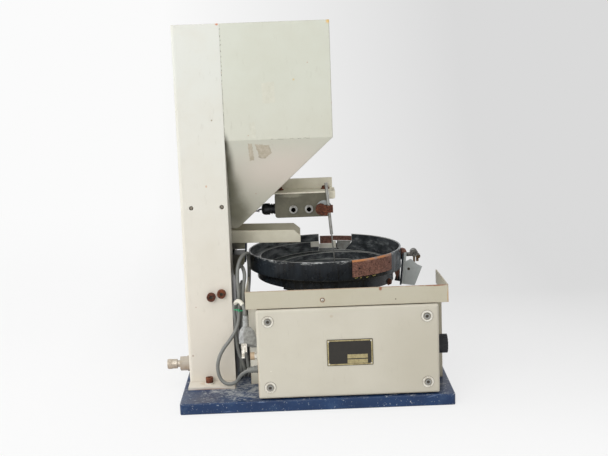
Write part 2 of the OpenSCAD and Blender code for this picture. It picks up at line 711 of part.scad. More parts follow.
// Rusty lug beside the outlet and the broken lug under the upper band
module outlet_block() color("#7A4030") {
    in_xz(outlet_y, outlet_y + 16) polygon([[outlet_x, rim_z - 26.3], [outlet_x + 6, rim_z - 26.3],
        [outlet_x + 9.6, rim_z - 12], [outlet_x + 8.5, rim_z - 8.5], [outlet_x + 3.5, rim_z - 6.2],
        [outlet_x, rim_z - 6.5]]);
    in_xz(outlet_y, outlet_y + 8) polygon([[outlet_x - 11, rim_z - 37.8], [outlet_x - 2.5, rim_z - 37.8],
        [outlet_x - 3, rim_z - 43], [outlet_x - 8.4, rim_z - 62], [outlet_x - 10.5, rim_z - 56],
        [outlet_x - 14.1, rim_z - 45.5]]);
}

module outlet_post() color("#2A2C30") outlet_frame() bar_z([-3.95, -post_r - 0.1, -60], post_r, 58);

// Plate with a bent edge, and a second plate behind the lug
module outlet_plate() color("#B8B8B2") {
    outlet_frame() difference() {
        union() {
            in_xz(-plate_sheet - 0.1, -0.1) polygon([[-2.3, -58], [-2.3, -16], [2.3, -16.3],
                [10.9, -11.4], [23.8, -20.8], [32.5, -24], [21.7, -59.6]]);
            in_xz(-2 * plate_sheet - 0.1, -plate_sheet) polygon([[-2.3, -57.5], [-2.3, 0], [2.1, 0],
                [2.1, -57.5]]);
        }
        bar_y([8.5, -plate_sheet - 1, -29.8], 2.6, plate_sheet + 2);
    }
    in_xz(outlet_y + 8.2, outlet_y + 9.8) polygon([[outlet_x - 2.6, rim_z - 44],
        [outlet_x - 7, rim_z - 44], [outlet_x - 13, rim_z - 65], [outlet_x - 2.9, rim_z - 67]]);
}

// Air nozzle: a stub out of the lug, two round bodies, a bronze tip and a tube end
module outlet_nozzle() color("#6A6A66") {
    bar_x([outlet_x + 9.7, outlet_y + 8, rim_z - 17.4], 3.6, 14);
    bar_y([outlet_x + 22.9, outlet_y, nozzle_z], 6.8, 15);
    bar_y([outlet_x + 30, outlet_y + 2, nozzle_z - 6.2], 4.3, 12);
    bar_z([outlet_x + 23.3, outlet_y + 7, nozzle_z - 17], 2, 12);
    bar_z([outlet_x + 29.1, outlet_y + 7, nozzle_z - 16], 2.4, 10);
}

// ------------------------------------------------------------ level switch

switch_z0 = rim_z + switch_over_rim;
switch_z1 = switch_z0 + switch_h;
switch_gap = 6.8; // from the hopper's slope to the switch, at its top
gland_z = switch_z0 + 13.5;
gland_r = 10.4;
gland_l = 24.5;
gland_gap = 1.5;
switch_x0 = max(slope_x(switch_z1) + switch_gap, slope_x(gland_z + gland_r) + gland_l + gland_gap);
switch_x1 = switch_x0 + switch_w;
switch_y0 = bowl_y - 25;
switch_y1 = switch_y0 + switch_d;
switch_r = 5;
bracket_x1 = switch_x1 + 7.7;
bracket_y1 = switch_y1 + 3.5;
tab_x1 = bracket_x1 + 3.4;
tab_drop = 11.3;
upright_h = 21;
lid_t = 3.5;
shaft_x = switch_x0 + 87.2;
shaft_z = switch_z0 + 15.4;
shaft_r = 4;
bush_r = 13.7;
bush_t = 3;
wand_y = switch_y0 - 11;
clamp_d = 11;
hub_out = 9.5; // radius of the clamp's rounded end
rod_x = shaft_x + 7.9;
rod_top = 46.2;
rod_low = -46.5;
wire_low = -95;
m6_r = 3;
gland_y = switch_y0 + 22;
cable_r = 1.5;
cable_hole_y = bowl_y + 55.5;
cable_hole_z = 296;

// Angle welded to the hopper's slope: a shelf, an upright and a rounded tab turned down in front
module switch_bracket() color("#C0B8AC") difference() {
    union() {
        in_xz(switch_y0, bracket_y1) polygon([
            [slope_x(switch_z1) + 0.1, switch_z1], [tab_x1, switch_z1],
            [tab_x1, switch_z1 + bracket_t],
            [slope_x(switch_z1 + bracket_t) + 0.1, switch_z1 + bracket_t]]);
        in_xz(bracket_y1 - bracket_t, bracket_y1) polygon([
            [slope_x(switch_z1) + 0.1, switch_z1], [bracket_x1, switch_z1],
            [bracket_x1, switch_z1 + upright_h], [slope_x(switch_z1 + upright_h) + 0.1,
            switch_z1 + upright_h]]);
        in_xz(switch_y0, switch_y0 + bracket_t) difference() {
            translate([switch_x1 - 6, switch_z1 - tab_drop])
                round_rect(tab_x1 - switch_x1 + 6, tab_drop + bracket_t, 4);
            translate([switch_x1 - 7, switch_z1 - tab_drop - 1]) square([7 + seat, tab_drop + 1]);
        }
        slab([switch_x1 + seat, switch_y0, switch_z1 - 4], [tab_x1, switch_y0 + bracket_t,
            switch_z1 + bracket_t]);
    }
    for (x = bracket_bolt_xs) bar_z([x, bracket_bolt_y, switch_z1 - 1], m6_r + hole_gap, 5);
}

bracket_bolt_xs = [switch_x0 + 8, switch_x1 - 5.5];
bracket_bolt_y = switch_y0 + 36;
module bracket_bolts() color("#7A4030") for (x = bracket_bolt_xs)
    translate([x, bracket_bolt_y, switch_z1 + bracket_t]) {
        tube(8, m6_r - 0.5, 1.2);
        translate([0, 0, 1]) hex_bolt(m6_r, 10, 4.2, 8);
    }

module switch_housing() color("#8A8670") difference() {
    translate([switch_x0, switch_y0 + lid_t, switch_z0]) translate([0, switch_d - lid_t, 0])
        rotate([90, 0, 0]) linear_extrude(switch_d - lid_t) round_rect(switch_w, switch_h, switch_r);
    translate([switch_x0 + 4, switch_y0 + lid_t - 1, switch_z0 + 4])
        cube([switch_w - 8, switch_d - lid_t - 3, switch_h - 8 - 3]);
    for (x = bracket_bolt_xs) bar_z([x, bracket_bolt_y, switch_z1 - 9], m6_r + run_gap, 12);
}

module switch_cover() color("#8A8670") difference() {
    in_xz(switch_y0, switch_y0 + lid_t) translate([switch_x0, switch_z0])
        round_rect(switch_w, switch_h, switch_r);
    for (p = switch_bolt_at) bar_y([p.x, switch_y0 - 1, p.y], m6_r + hole_gap, 6);
    bar_y([shaft_x, switch_y0 - 1, shaft_z], shaft_r + hole_gap, 6);
}

switch_bolt_at = [[switch_x0 + 32.5, switch_z0 + 14.5], [switch_x0 + 60.2, switch_z0 + 14.5]];
module switch_bolts() color("#8E9090") for (p = switch_bolt_at)
    translate([p.x, switch_y0, p.y]) rotate([90, 0, 0]) {
        cylinder(r = 7.4, h = 2);
        translate([0, 0, 2]) cylinder(r = 6, h = 4, $fn = 6);
        translate([0, 0, -7]) cylinder(r = m6_r, h = 8);
    }

module shaft_bush() color("#D8D0C0") translate([shaft_x, switch_y0, shaft_z]) rotate([90, 0, 0])
    tube(bush_r, shaft_r + run_gap, bush_t);

module wand_shaft() color("#7A4030") bar_y([shaft_x, wand_y - clamp_d / 2 + 0.2, shaft_z], shaft_r,
    clamp_d / 2 - 0.2 + switch_y0 - wand_y + 22);

// Places children at the level of the shaft with Z along the wand
module wand_frame() translate([rod_x, wand_y, shaft_z]) rotate([0, -wand_lean, 0]) children();

// Clamp with a rounded end, a block that the rod passes, and a socket screw
module wand_clamp() color("#7A4030") {
    y0 = wand_y - clamp_d / 2;
    difference() {
        union() {
            bar_y([shaft_x - 6, y0, shaft_z - 0.5], hub_out, clamp_d);
            slab([shaft_x - 6, y0, shaft_z - 6.7], [shaft_x + 15.3, y0 + clamp_d, shaft_z + 5.6]);
            slab([shaft_x - 6, y0, shaft_z - 11.1], [shaft_x + 5, y0 + clamp_d, shaft_z]);
        }
        bar_y([shaft_x, wand_y - clamp_d, shaft_z], shaft_r + run_gap, 2 * clamp_d);
        wand_frame() translate([0, 0, -30]) cylinder(r = rod_d / 2 + run_gap, h = 60);
    }
    translate([shaft_x - 9, y0 + 0.1, shaft_z - 0.5]) rotate([90, 0, 0]) difference() {
        cylinder(r = 4.2, h = 2.6);
        translate([0, 0, 1]) cylinder(r = 2.2, h = 3, $fn = 6);
    }
}

module wand_rod() color("#8E9090") wand_frame() {
    translate([0, 0, rod_low]) cylinder(r = rod_d / 2, h = rod_top - rod_low);
    translate([0, 0, wire_low]) cylinder(r = wire_d / 2, h = rod_low - wire_low + 1);
}

// Gland with ribs beside the housing and a domed nut, turned about the cable
module cable_gland() color("#1C1C1C") translate([switch_x0, gland_y, gland_z])
    rotate([0, -90, 0]) rotate_extrude() polygon(concat(
        [[cable_r + 0.4, gland_l - 1.5], [cable_r - 0.2, gland_l - 1.5], [0, gland_l - 1.5], [0, 0],
        [9.4, 0], [9.4, 3], [8.2, 3.4], [8.2, 5], [9.6, 5.4], [9.6, 7], [8.2, 7.4], [8.2, 9],
        [gland_r, 9.6], [gland_r, 17]],
        [for (a = [15 : 15 : 60]) [4 + (gland_r - 4) * cos(a), 17 + (gland_l - 17) * sin(a) / sin(75)]],
        [[4.2, gland_l], [cable_r + 0.4, gland_l]]));

// Route of the switch's cable, from its gland round the hopper into the column
cable_end = col_x1 - column_sheet - 2;
cable_from = [switch_x0 - gland_l + 1.5, gland_y, gland_z];
cable_in = cable_end - cable_from.x;
CABLE_POINTS = [
    [0, 0, 0], [-3, 0.3, -0.2], [-5.6, 2, -1], [-7.2, 6, -2.4], [-7.8, 12, -4], [-8, 24, -7],
    [-8, 38, -10], [-9, 48, -11], [-13, 55, -11.3], [-20, 58, -11.2], [cable_in + 25, 58, -11],
    [cable_in + 12, 58, -11], [cable_in, 58, -11]];
module sensor_cable() color("#2A2C30") sweep_tube([for (p = CABLE_POINTS) cable_from + p],
    cable_r, 8);

// --------------------------------------------------- guard and controller

// Folded sheet: front lip, shelf, panel down to the base plate, foot and side flanges
module guard() color("#D5CFC0") difference() {
    union() {
        slab([guard_x0, lip_front, shelf_z], [guard_x1, lip_front + guard_sheet, shelf_z + lip_h]);
        slab([guard_x0, lip_front, shelf_z], [guard_x1, panel_back, shelf_z + guard_sheet]);
        slab([guard_x0, panel_front, plate_top], [guard_x1, panel_back, shelf_z + 1]);
        slab([guard_x0, panel_front, plate_top],
            [guard_x1, panel_back + guard_foot, plate_top + guard_sheet]);
        for (x = [guard_x0, guard_x1 - guard_sheet]) translate([x, 0, 0]) rotate([90, 0, 90])
            linear_extrude(guard_sheet) polygon([[lip_front, shelf_z], [flange_back, shelf_z],
                [flange_back, shelf_z + lip_h - flange_fall], [lip_front, shelf_z + lip_h]]);
    }
    for (x = [guard_x0 + 30, guard_x1 - 30])
        bar_z([x, panel_back + guard_foot / 2, plate_top - 1], 2.6, guard_sheet + 2);
}

module control_box() color("#D5CFC0") difference() {
    slab([cover_x0 + box_inset, box_front, box_z0 + box_inset],
        [cover_x1 - box_inset, box_back, box_z1 - box_inset]);
    slab([cover_x0 + box_inset + box_wall, box_front - 1, box_z0 + box_inset + box_wall],
        [cover_x1 - box_inset - box_wall, box_back - box_wall, box_z1 - box_inset - box_wall]);
    bar_x([cover_x1 - 10, knob_y, knob_z], 4.8, 20);
    bar_x([cover_x0 - 10, cord_exit_y, cord_exit_z], 5.6, 20);
    bar_x([cover_x0 - 10, fuse_y, fuse_z], 5.6, 20);
}

cover_screw_at = [for (x = [cover_x0 + cover_screw_x, cover_x1 - cover_screw_x],
    z = [box_z0 + cover_screw_z, box_z1 - cover_screw_z]) [x, z]];

// Drawn cover with rounded corners and a softened face
module control_cover() color("#D5CFC0") difference() {
    translate([cover_x0, cover_front, box_z0]) intersection() {
        translate([0, cover_d, 0]) rotate([90, 0, 0])
            linear_extrude(cover_d) round_rect(box_w, box_h, cover_r);
        linear_extrude(box_h) round_rect(box_w, cover_d + 10, cover_edge_r);
        rotate([90, 0, 90]) linear_extrude(box_w) round_rect(cover_d + 10, box_h, cover_edge_r);
    }
    translate([cover_x0 + box_wall, cover_front + box_wall, box_z0 + box_wall])
        translate([0, cover_d, 0]) rotate([90, 0, 0]) linear_extrude(cover_d)
            round_rect(box_w - 2 * box_wall, box_h - 2 * box_wall, cover_r - box_wall / 2);
    for (p = cover_screw_at) bar_y([p.x, cover_front - 1, p.y], m4_r + hole_gap, cover_d);
}

module cover_rings() color("#C9C3AF") for (p = cover_screw_at)
    translate([p.x, cover_front, p.y]) rotate([90, 0, 0]) tube(ring_r, ring_r - 3.4, ring_h);

module cover_screws() color("#8A8A86") for (p = cover_screw_at)
    translate([p.x, cover_front, p.y]) rotate([90, 0, 0]) difference() {
        union() {
            cylinder(r = 4.6, h = 2.2);
            translate([0, 0, -30]) cylinder(r = m4_r, h = 31);
        }
        translate([0, 0, 0.4]) cylinder(r = 2.9, h = 3, $fn = 6);
    }

nameplate_x = cover_x0 + 152.9;
nameplate_z = box_z0 + 75;
module nameplate() color("#1C1A14") translate([nameplate_x - nameplate_w / 2, cover_front,
    nameplate_z - nameplate_h / 2]) rotate([90, 0, 0]) {
        linear_extrude(0.8) round_rect(nameplate_w, nameplate_h, 1.5);
        for (x = [3, nameplate_w - 3], y = [3, nameplate_h - 3])
            translate([x, y, 0]) cylinder(r = 1.4, h = 1.5);
    }

board_inset = 60;
// Board of the controller on four pillars, with its power parts
module circuit_board() color("#2F6B3C") {
    x0 = cover_x0 + board_inset;
    x1 = cover_x1 - board_inset;
    y = box_back - box_wall - 12;
    slab([x0, y - 1.6, box_z0 + 30], [x1, y, box_z1 - 30]);
    for (x = [x0 + 8, x1 - 8], z = [box_z0 + 38, box_z1 - 38]) bar_y([x, y - 0.5, z], 3.5, 12.5);
    slab([x0 + 20, y - 22, box_z0 + 45], [x0 + 50, y - 1, box_z0 + 80]);
    for (x = [x0 + 75, x0 + 110]) translate([x, y - 1, box_z0 + 90]) rotate([90, 0, 0])
        cylinder(r = 9, h = 24);
}

module speed_pot() color("#6A6A66") {
    inner = cover_x1 - box_inset - box_wall;
    difference() {
        union() {
            bar_x([inner - 14, knob_y, knob_z], 12, 14);
            bar_x([inner - 1, knob_y, knob_z], 4.6, box_wall + 5);
            bar_x([inner + box_wall, knob_y, knob_z], 7.5, 2.5);
        }
        bar_x([inner - 8, knob_y, knob_z], pot_shaft_r + run_gap, 30);
    }
}

// Fluted knob with its shaft
module speed_knob() color("#1C1C1C") {
    x = cover_x1 + knob_gap;
    difference() {
        bar_x([x, knob_y, knob_z], knob_d / 2, knob_l);
        for (a = [0 : 20 : 359]) translate([x + 4, knob_y, knob_z]) rotate([a, 0, 0])
            bar_x([0, 0, knob_d / 2 + 0.7], 1.6, knob_l);
    }
    bar_x([cover_x1 - box_inset - box_wall - 7, knob_y, knob_z], pot_shaft_r, 12 + knob_gap);
}

module fuse_holder() color("#8E9090") {
    bar_x([cover_x0 + box_inset - 13, fuse_y, fuse_z], 5.5, 30);
    bar_x([cover_x0 + box_inset - 15, fuse_y, fuse_z], 6.4, 7);
    bar_x([cover_x0 + box_inset - 4, fuse_y, fuse_z], 8, 4);
}

module strain_relief() color("#1C1C1C") translate([cover_x0 + box_inset, cord_exit_y, cord_exit_z])
    rotate([0, -90, 0]) difference() {
        union() {
            translate([0, 0, -10]) cylinder(r = 5.5, h = 11);
            cylinder(r = 7.5, h = 2);
            translate([0, 0, 1]) cylinder(r1 = 6.5, r2 = cord_d / 2 + 1, h = relief_l - 1);
        }
        translate([0, 0, relief_l - 1.2]) cylinder(r = cord_d / 2 + seat, h = 2);
    }

// Route of the power cord: out of the controller, round in front of the column,
// up the gap beside the guard, three hanging turns, and over into the plug
CORD_POINTS = [
    [-104, -150, 62], [-114, -149, 60], [-122, -145, 55], [-129, -138, 47], [-134, -131, 38],
    [-140, -126, 32], [-149, -122, 29], [-158, -119, 31], [-165, -116, 39], [-168, -114, 50],
    [-168, -113, 62], [-164, -111, 76], [-157, -108, 88], [-148, -105, 99], [-139, -101, 111],
    [-132, -96, 125], [-129, -92, 142], [-128, -88, 165], [-129, -84, 212], [-127, -80, 227],
    [-122, -70, 238], [-115, -55, 242], [-111, -40, 238], [-111, -29, 227], [-111, -25, 212],
    [-112, -23, 190], [-115, -22, 160], [-117, -22, 100], [-117, -22, 52], [-117, -26, 38],
    [-117, -36, 27], [-117, -51, 23], [-117, -66, 27], [-117, -77, 38], [-118, -81, 52],
    [-122, -83, 90], [-123, -84, 140], [-121, -84, 172], [-119, -83, 193], [-117, -79, 207],
    [-119, -69, 217], [-124, -55, 221], [-129, -41, 217], [-133, -31, 207], [-133, -27, 193],
    [-133, -25, 160], [-131, -25, 100], [-131, -25, 47], [-131, -28, 35], [-131, -37, 26],
    [-131, -49, 23], [-131, -61, 26], [-131, -70, 35], [-131, -73, 47], [-129, -73, 100],
    [-127, -73, 162], [-126, -69, 176], [-125, -59, 186], [-124, -46, 189], [-124, -32, 186],
    [-124, -22, 176], [-124, -18, 162], [-124, -17, 110], [-124, -17, 54], [-124, -21, 38],
    [-124, -33, 27], [-124, -48, 23], [-124, -64, 27], [-124, -74, 38], [-127, -81, 54],
    [-133, -84, 74], [-136, -84, 100], [-136, -85, 130], [-137, -88, 149], [-136, -90, 158],
    [-132, -96, 166.5], [-127, -104, 169], [-122, -112, 166.5], [-118, -118, 159],
    [-117, -120, 148]
];
module power_cord() color("#8A8A86") sweep_tube(CORD_POINTS, cord_d / 2, 8);

// Corners of the plug's section: front left, front right, back right, back left,
// about a point beside the cord's end, turned a little and at four heights
plug_turn = 30;
function plug_corner(c, x, y, z) = [c.x + x * cos(plug_turn) - y * sin(plug_turn),
    c.y + x * sin(plug_turn) + y * cos(plug_turn), z];
function plug_ring(c, w, d, z) = [plug_corner(c, -w / 2, -d / 2, z[0]),
    plug_corner(c, w / 2, -d / 2, z[1]), plug_corner(c, w / 2, d / 2, z[2]),
    plug_corner(c, -w / 2, d / 2, z[3])];

// Moulded plug hanging from the cord's end: ribbed tail, flared body, two blades
plug_at = CORD_POINTS[len(CORD_POINTS) - 1];
tail_l = 20;
module cord_plug() color("#8E9090") translate(plug_at) {
    difference() {
        translate([0, 0, -tail_l - 2]) cylinder(r1 = 5, r2 = 4, h = tail_l + 2);
        translate([0, 0, -1.2]) cylinder(r = cord_d / 2 + seat, h = 2);
    }
    for (z = [6, 9.5, 13, 16.5]) translate([0, 0, -z - 1.6]) cylinder(r = 5, h = 1.6);
    rings = [plug_ring([0.6, 0], 11, 9.5, -tail_l * [1, 1, 1, 1]),
        plug_ring([1.6, 0], 21, 15, -(tail_l + 7.5) * [1, 1, 1, 1]),
        plug_ring([2.6, 0], 24.5, 18, [-38, -41, -41, -40]),
        plug_ring([3, 0], 25, 19, [-43, -55.5, -61, -50])];
    polyhedron([for (ring = rings, p = ring) p], concat([[3, 2, 1, 0]],
        [for (i = [0 : 2], k = [0 : 3]) let (m = (k + 1) % 4)
            [i * 4 + k, i * 4 + m, i * 4 + 4 + m, i * 4 + 4 + k]], [[12, 13, 14, 15]]));
    for (b = [[-1.5, -6, -43, 19], [-6, -3, -46, 27]])
        translate([b[0], b[1], b[2]]) rotate([-18, 0, 0]) translate([-2.5, -0.75, -b[3]])
            cube([5, 1.5, b[3]]);
}

// Compressed-air bulkhead fitting in the column's left wall
fitting_y = tower_y0 + 56.3;
fitting_z = plate_top + 22;
fitting_thread_r = 6.5;
fitting_l = 43.7;
fitting_bore_r = 3.2;
fitting_bore_l = 15;
module air_fitting() color("#B8B4A8") translate([col_x0, fitting_y, fitting_z])
    rotate([0, -90, 0]) difference() {
        union() {
            translate([0, 0, -12]) cylinder(r = fitting_thread_r, h = 14);
            translate([0, 0, -column_sheet - 5]) cylinder(r = 13, h = 5, $fn = 6);
            cylinder(r = 14.4, h = 8, $fn = 6);
            translate([0, 0, 7]) cylinder(r = 13.2, h = 13.7, $fn = 6);
            translate([0, 0, 20]) cylinder(r = 6.2, h = 8);
            translate([0, 0, 26.5]) cylinder(r = 8.5, h = fitting_l - 26.5);
        }
        translate([0, 0, fitting_l - fitting_bore_l]) cylinder(r = fitting_bore_r, h = fitting_bore_l + 1);
    }

base_plate();
column_foot();
column();
column_cover();
cover_plate_screws();
foot_bolts();
foot_washers();
hopper();
tray_shelf();
shelf_screws();
tray_drive_base();
tray_springs();
tray_coil();
tray_carriage();
tray();
drive_isolators();
drive_base();
drive_coil();
drive_core();
armature();
drive_crown();
leaf_springs();
lower_clamps();
upper_clamps();
bowl();
spiral_track();
bowl_bolt();
patch_plate();
notch_bar();
notch_guide();
notch_wedge();
outlet_block();
outlet_post();
outlet_plate();
outlet_nozzle();
switch_bracket();
bracket_bolts();
switch_housing();
switch_cover();
switch_bolts();
shaft_bush();
wand_shaft();
wand_clamp();
wand_rod();
cable_gland();
sensor_cable();
guard();
control_box();
control_cover();
cover_rings();
cover_screws();
nameplate();
circuit_board();
speed_pot();
speed_knob();
fuse_holder();
strain_relief();
power_cord();
cord_plug();
air_fitting();
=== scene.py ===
"""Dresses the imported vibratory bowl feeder: its finishes, its power cord and the
small things on its pieces. Metres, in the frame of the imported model."""

import math
import random
from functools import partial

import bmesh
import bpy
from mathutils import Matrix, Vector


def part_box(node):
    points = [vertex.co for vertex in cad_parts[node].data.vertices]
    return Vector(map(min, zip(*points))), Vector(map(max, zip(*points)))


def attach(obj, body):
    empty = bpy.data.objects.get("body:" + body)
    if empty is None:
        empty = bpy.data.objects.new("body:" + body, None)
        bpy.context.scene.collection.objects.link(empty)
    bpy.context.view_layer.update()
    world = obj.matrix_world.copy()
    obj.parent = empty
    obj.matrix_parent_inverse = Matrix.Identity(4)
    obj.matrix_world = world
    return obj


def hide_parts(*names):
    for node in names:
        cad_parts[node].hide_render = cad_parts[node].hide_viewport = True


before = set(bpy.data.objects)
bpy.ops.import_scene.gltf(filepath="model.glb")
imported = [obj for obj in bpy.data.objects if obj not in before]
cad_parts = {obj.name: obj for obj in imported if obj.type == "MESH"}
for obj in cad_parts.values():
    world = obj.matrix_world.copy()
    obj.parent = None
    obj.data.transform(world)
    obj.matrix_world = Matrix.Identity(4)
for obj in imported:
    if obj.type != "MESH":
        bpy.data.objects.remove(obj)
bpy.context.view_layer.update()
MM = 0.001

# ------------------------------------------------------------------ camera
# A long lens on a tripod in front of the base plate, a little above the bowl's
# rim and turned down towards it, with the slight roll of a head left uneven.
camera_at = Vector((-0.02307, -1.91261, 0.60781))
camera_yaw, camera_pitch, camera_roll = (math.radians(a) for a in (0.36, 9.91, 2.11))
ahead = Vector((
    math.sin(camera_yaw) * math.cos(camera_pitch),
    math.cos(camera_yaw) * math.cos(camera_pitch),
    -math.sin(camera_pitch),
))
level_right = Vector((math.cos(camera_yaw), -math.sin(camera_yaw), 0))
level_up = level_right.cross(ahead)
right = level_right * math.cos(camera_roll) - level_up * math.sin(camera_roll)
up = level_up * math.cos(camera_roll) + level_right * math.sin(camera_roll)
focal_length_mm = 64.41
lens = bpy.data.cameras.new("camera")
lens.lens = focal_length_mm
camera = bpy.data.objects.new("camera", lens)
camera.matrix_world = Matrix.Translation(camera_at) @ Matrix((right, up, -ahead)).transposed().to_4x4()
bpy.context.scene.collection.objects.link(camera)
bpy.context.scene.camera = camera
bpy.context.scene.view_settings.view_transform = "Standard"


# -------------------------------------------------------------- power cord
# A grey vinyl mains cord of 6.4 mm. It leaves the controller's left side through
# a tapered sleeve, droops round in front of the column, hangs beside the guard in
# three turns held by a wire tie, and ends in its moulded plug.
def linear(code):
    """Turns an sRGB hex colour into linear RGBA."""
    shares = [int(code[i:i + 2], 16) / 255 for i in (1, 3, 5)]
    return [s / 12.92 if s <= 0.04045 else ((s + 0.055) / 1.055) ** 2.4 for s in shares] + [1]


def add_node(tree, kind, *inputs, output=0, **named):
    """Adds a node and returns one of its outputs. Its sockets are set or linked in order, or
    by their capitalised names; names in small letters are the node's own settings."""
    made = tree.nodes.new("ShaderNode" + kind)
    sockets = dict(enumerate(inputs))
    for name, value in named.items():
        if name[0].isupper():
            sockets[name.replace("_", " ")] = value
        else:
            setattr(made, name, value)
    for name, value in sockets.items():
        if isinstance(value, bpy.types.NodeSocket):
            tree.links.new(value, made.inputs[name])
        else:
            made.inputs[name].default_value = linear(value) if isinstance(value, str) else value
    return made.outputs[output] if made.outputs else None


def new_material(name):
    """An empty material, what adds nodes to it, and the whole feeder's coordinates in metres."""
    made = bpy.data.materials.new(name)
    made.use_nodes = True
    made.node_tree.nodes.clear()
    add = partial(add_node, made.node_tree)
    return made, add, add("TexCoord", output="Object")


def surface(add, colour, rough, bump_mm, relief, rounded=None, **shader):
    """Ends a material. Its roughness is one value, or a grain with the two values it moves
    between. Its bump lies over the rounded folds, where it has them."""
    if isinstance(rough, tuple):
        rough = add("MapRange", rough[0], 0.3, 0.7, *rough[1:])
    folds = {"Normal": rounded} if rounded else {}
    bump = add("Bump", Distance=bump_mm * MM, Height=relief, **folds)
    shine = add("BsdfPrincipled", Base_Color=colour, Roughness=rough, Normal=bump, **shader)
    add("OutputMaterial", shine)


def mottled(name, first, second, grain_mm, detail, bump_mm, tone=0.5, swirl=0, spread=None, rough=0.5,
            skin=None, edge_mm=0, **shader):
    """A finish that wanders between two colours over a grain, which is its bump too unless its
    skin has a finer one. The change is as sharp as spread, and a pair in rough follows it."""
    made, add, place = new_material(name)
    grain = add("TexNoise", place, Scale=1 / (grain_mm * MM), Detail=detail, Roughness=tone,
                Distortion=swirl)
    relief = add("TexNoise", place, Scale=1 / (skin[0] * MM), Detail=skin[1]) if skin else grain
    colour = add("MixRGB", add("MapRange", grain, *spread) if spread else grain, first, second)
    rounded = add("Bevel", edge_mm * MM, samples=4) if edge_mm else None
    surface(add, colour, (grain, *rough) if isinstance(rough, tuple) else rough, bump_mm, relief,
            rounded, **shader)
    return made


def box_mm(name):
    """The lowest and the highest corner of a CAD node at rest, in mm."""
    return [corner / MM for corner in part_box(name)]


def fitted(name, shape, material, body):
    """Makes a piece of a mesh: its finish and the body it moves with."""
    mesh = bpy.data.meshes.new(name)
    bmesh.ops.recalc_face_normals(shape, faces=shape.faces)
    shape.to_mesh(mesh)
    shape.free()
    mesh.materials.append(material)
    mesh.shade_smooth()
    mesh.set_sharp_from_angle(angle=math.radians(35))
    made = bpy.data.objects.new(name, mesh)
    bpy.context.scene.collection.objects.link(made)
    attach(made, body)
    return made


def turn(shape, line, radii, sides=24, beside=Vector((0, 0, 1))):
    """Adds a closed round form to a mesh: its radius changes along a line of points, in mm."""
    rings = []
    for i, (point, radius) in enumerate(zip(line, radii)):
        along = (line[min(i + 1, len(line) - 1)] - line[max(i - 1, 0)]).normalized()
        across = along.cross(beside).normalized()
        over = across.cross(along)
        turns = [math.tau * k / sides for k in range(sides)]
        rings.append([
            shape.verts.new((point + radius * (math.cos(t) * across + math.sin(t) * over)) * MM)
            for t in turns
        ])
    for near, far in zip(rings, rings[1:]):
        for k in range(sides):
            shape.faces.new((near[k - 1], near[k], far[k], far[k - 1]))
    shape.faces.new(rings[0])
    shape.faces.new(rings[-1])


def turned_piece(name, line, radii, material, body, sides=24, beside=Vector((0, 0, 1))):
    """A piece of one closed round form."""
    shape = bmesh.new()
    turn(shape, line, radii, sides, beside)
    return fitted(name, shape, material, body)


def smooth_line(name, points, radius, material, body, steps=8, sides=3):
    """A round wire or cord of one radius that runs smoothly through its points, in mm."""
    line = bpy.data.curves.new(name, "CURVE")
    line.dimensions = "3D"
    line.bevel_depth = radius * MM
    line.bevel_resolution = sides
    line.resolution_u = steps
    line.use_fill_caps = True
    spline = line.splines.new("BEZIER")
    spline.bezier_points.add(len(points) - 1)
    for knot, point in zip(spline.bezier_points, points):
        knot.co = point * MM
        knot.handle_left_type = knot.handle_right_type = "AUTO"
    line.materials.append(material)
    made = bpy.data.objects.new(name, line)
    bpy.context.scene.collection.objects.link(made)
    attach(made, body)
    return made


cord_d = 6.4
cord_route = [Vector(point) for point in (
    (-104, -150, 62), (-114, -149, 60), (-122, -145, 55), (-129, -138, 47), (-134, -131, 38),
    (-140, -126, 32), (-149, -122, 29), (-158, -119, 31), (-165, -116, 39), (-168, -114, 50),
    (-168, -113, 62), (-164, -111, 76), (-157, -108, 88), (-148, -105, 99), (-139, -101, 111),
    (-132, -96, 125), (-129, -92, 142), (-128, -88, 165), (-129, -84, 212), (-127, -80, 227),
    (-122, -70, 238), (-115, -55, 242), (-111, -40, 238), (-111, -29, 227), (-111, -25, 212),
    (-112, -23, 190), (-115, -22, 160), (-117, -22, 100), (-117, -22, 52), (-117, -26, 38),
    (-117, -36, 27), (-117, -51, 23), (-117, -66, 27), (-117, -77, 38), (-118, -81, 52),
    (-122, -83, 90), (-123, -84, 140), (-121, -84, 172), (-119, -83, 193), (-117, -79, 207),
    (-119, -69, 217), (-124, -55, 221), (-129, -41, 217), (-133, -31, 207), (-133, -27, 193),
    (-133, -25, 160), (-131, -25, 100), (-131, -25, 47), (-131, -28, 35), (-131, -37, 26),
    (-131, -49, 23), (-131, -61, 26), (-131, -70, 35), (-131, -73, 47), (-129, -73, 100),
    (-127, -73, 162), (-126, -69, 176), (-125, -59, 186), (-124, -46, 189), (-124, -32, 186),
    (-124, -22, 176), (-124, -18, 162), (-124, -17, 110), (-124, -17, 54), (-124, -21, 38),
    (-124, -33, 27), (-124, -48, 23), (-124, -64, 27), (-124, -74, 38), (-127, -81, 54),
    (-133, -84, 74), (-136, -84, 100), (-136, -85, 130), (-137, -88, 149), (-136, -90, 158),
    (-132, -96, 166.5), (-127, -104, 169), (-122, -112, 166.5), (-118, -118, 159),
    (-117, -120, 148),
)]

# Vinyl, extruded over the wires: an even grey with a soft sheen, duller and a
# little browner where hands have held it.
grey_vinyl, add, place = new_material("grey extruded vinyl")
handled = add("TexNoise", place, Scale=1 / (30 * MM), Detail=4)
pores = add("TexNoise", place, Scale=1 / (1.2 * MM), Detail=2)
dirt = add("TexNoise", place, Scale=1 / (7 * MM), Detail=5, Roughness=0.7)
colour = add("MixRGB", handled, "#666764", "#858681")
colour = add("MixRGB", add("MapRange", dirt, 0.58, 0.75, 0, 0.5), colour, "#6B645A")
surface(add, colour, (handled, 0.4, 0.58), 0.06, pores, IOR=1.53)

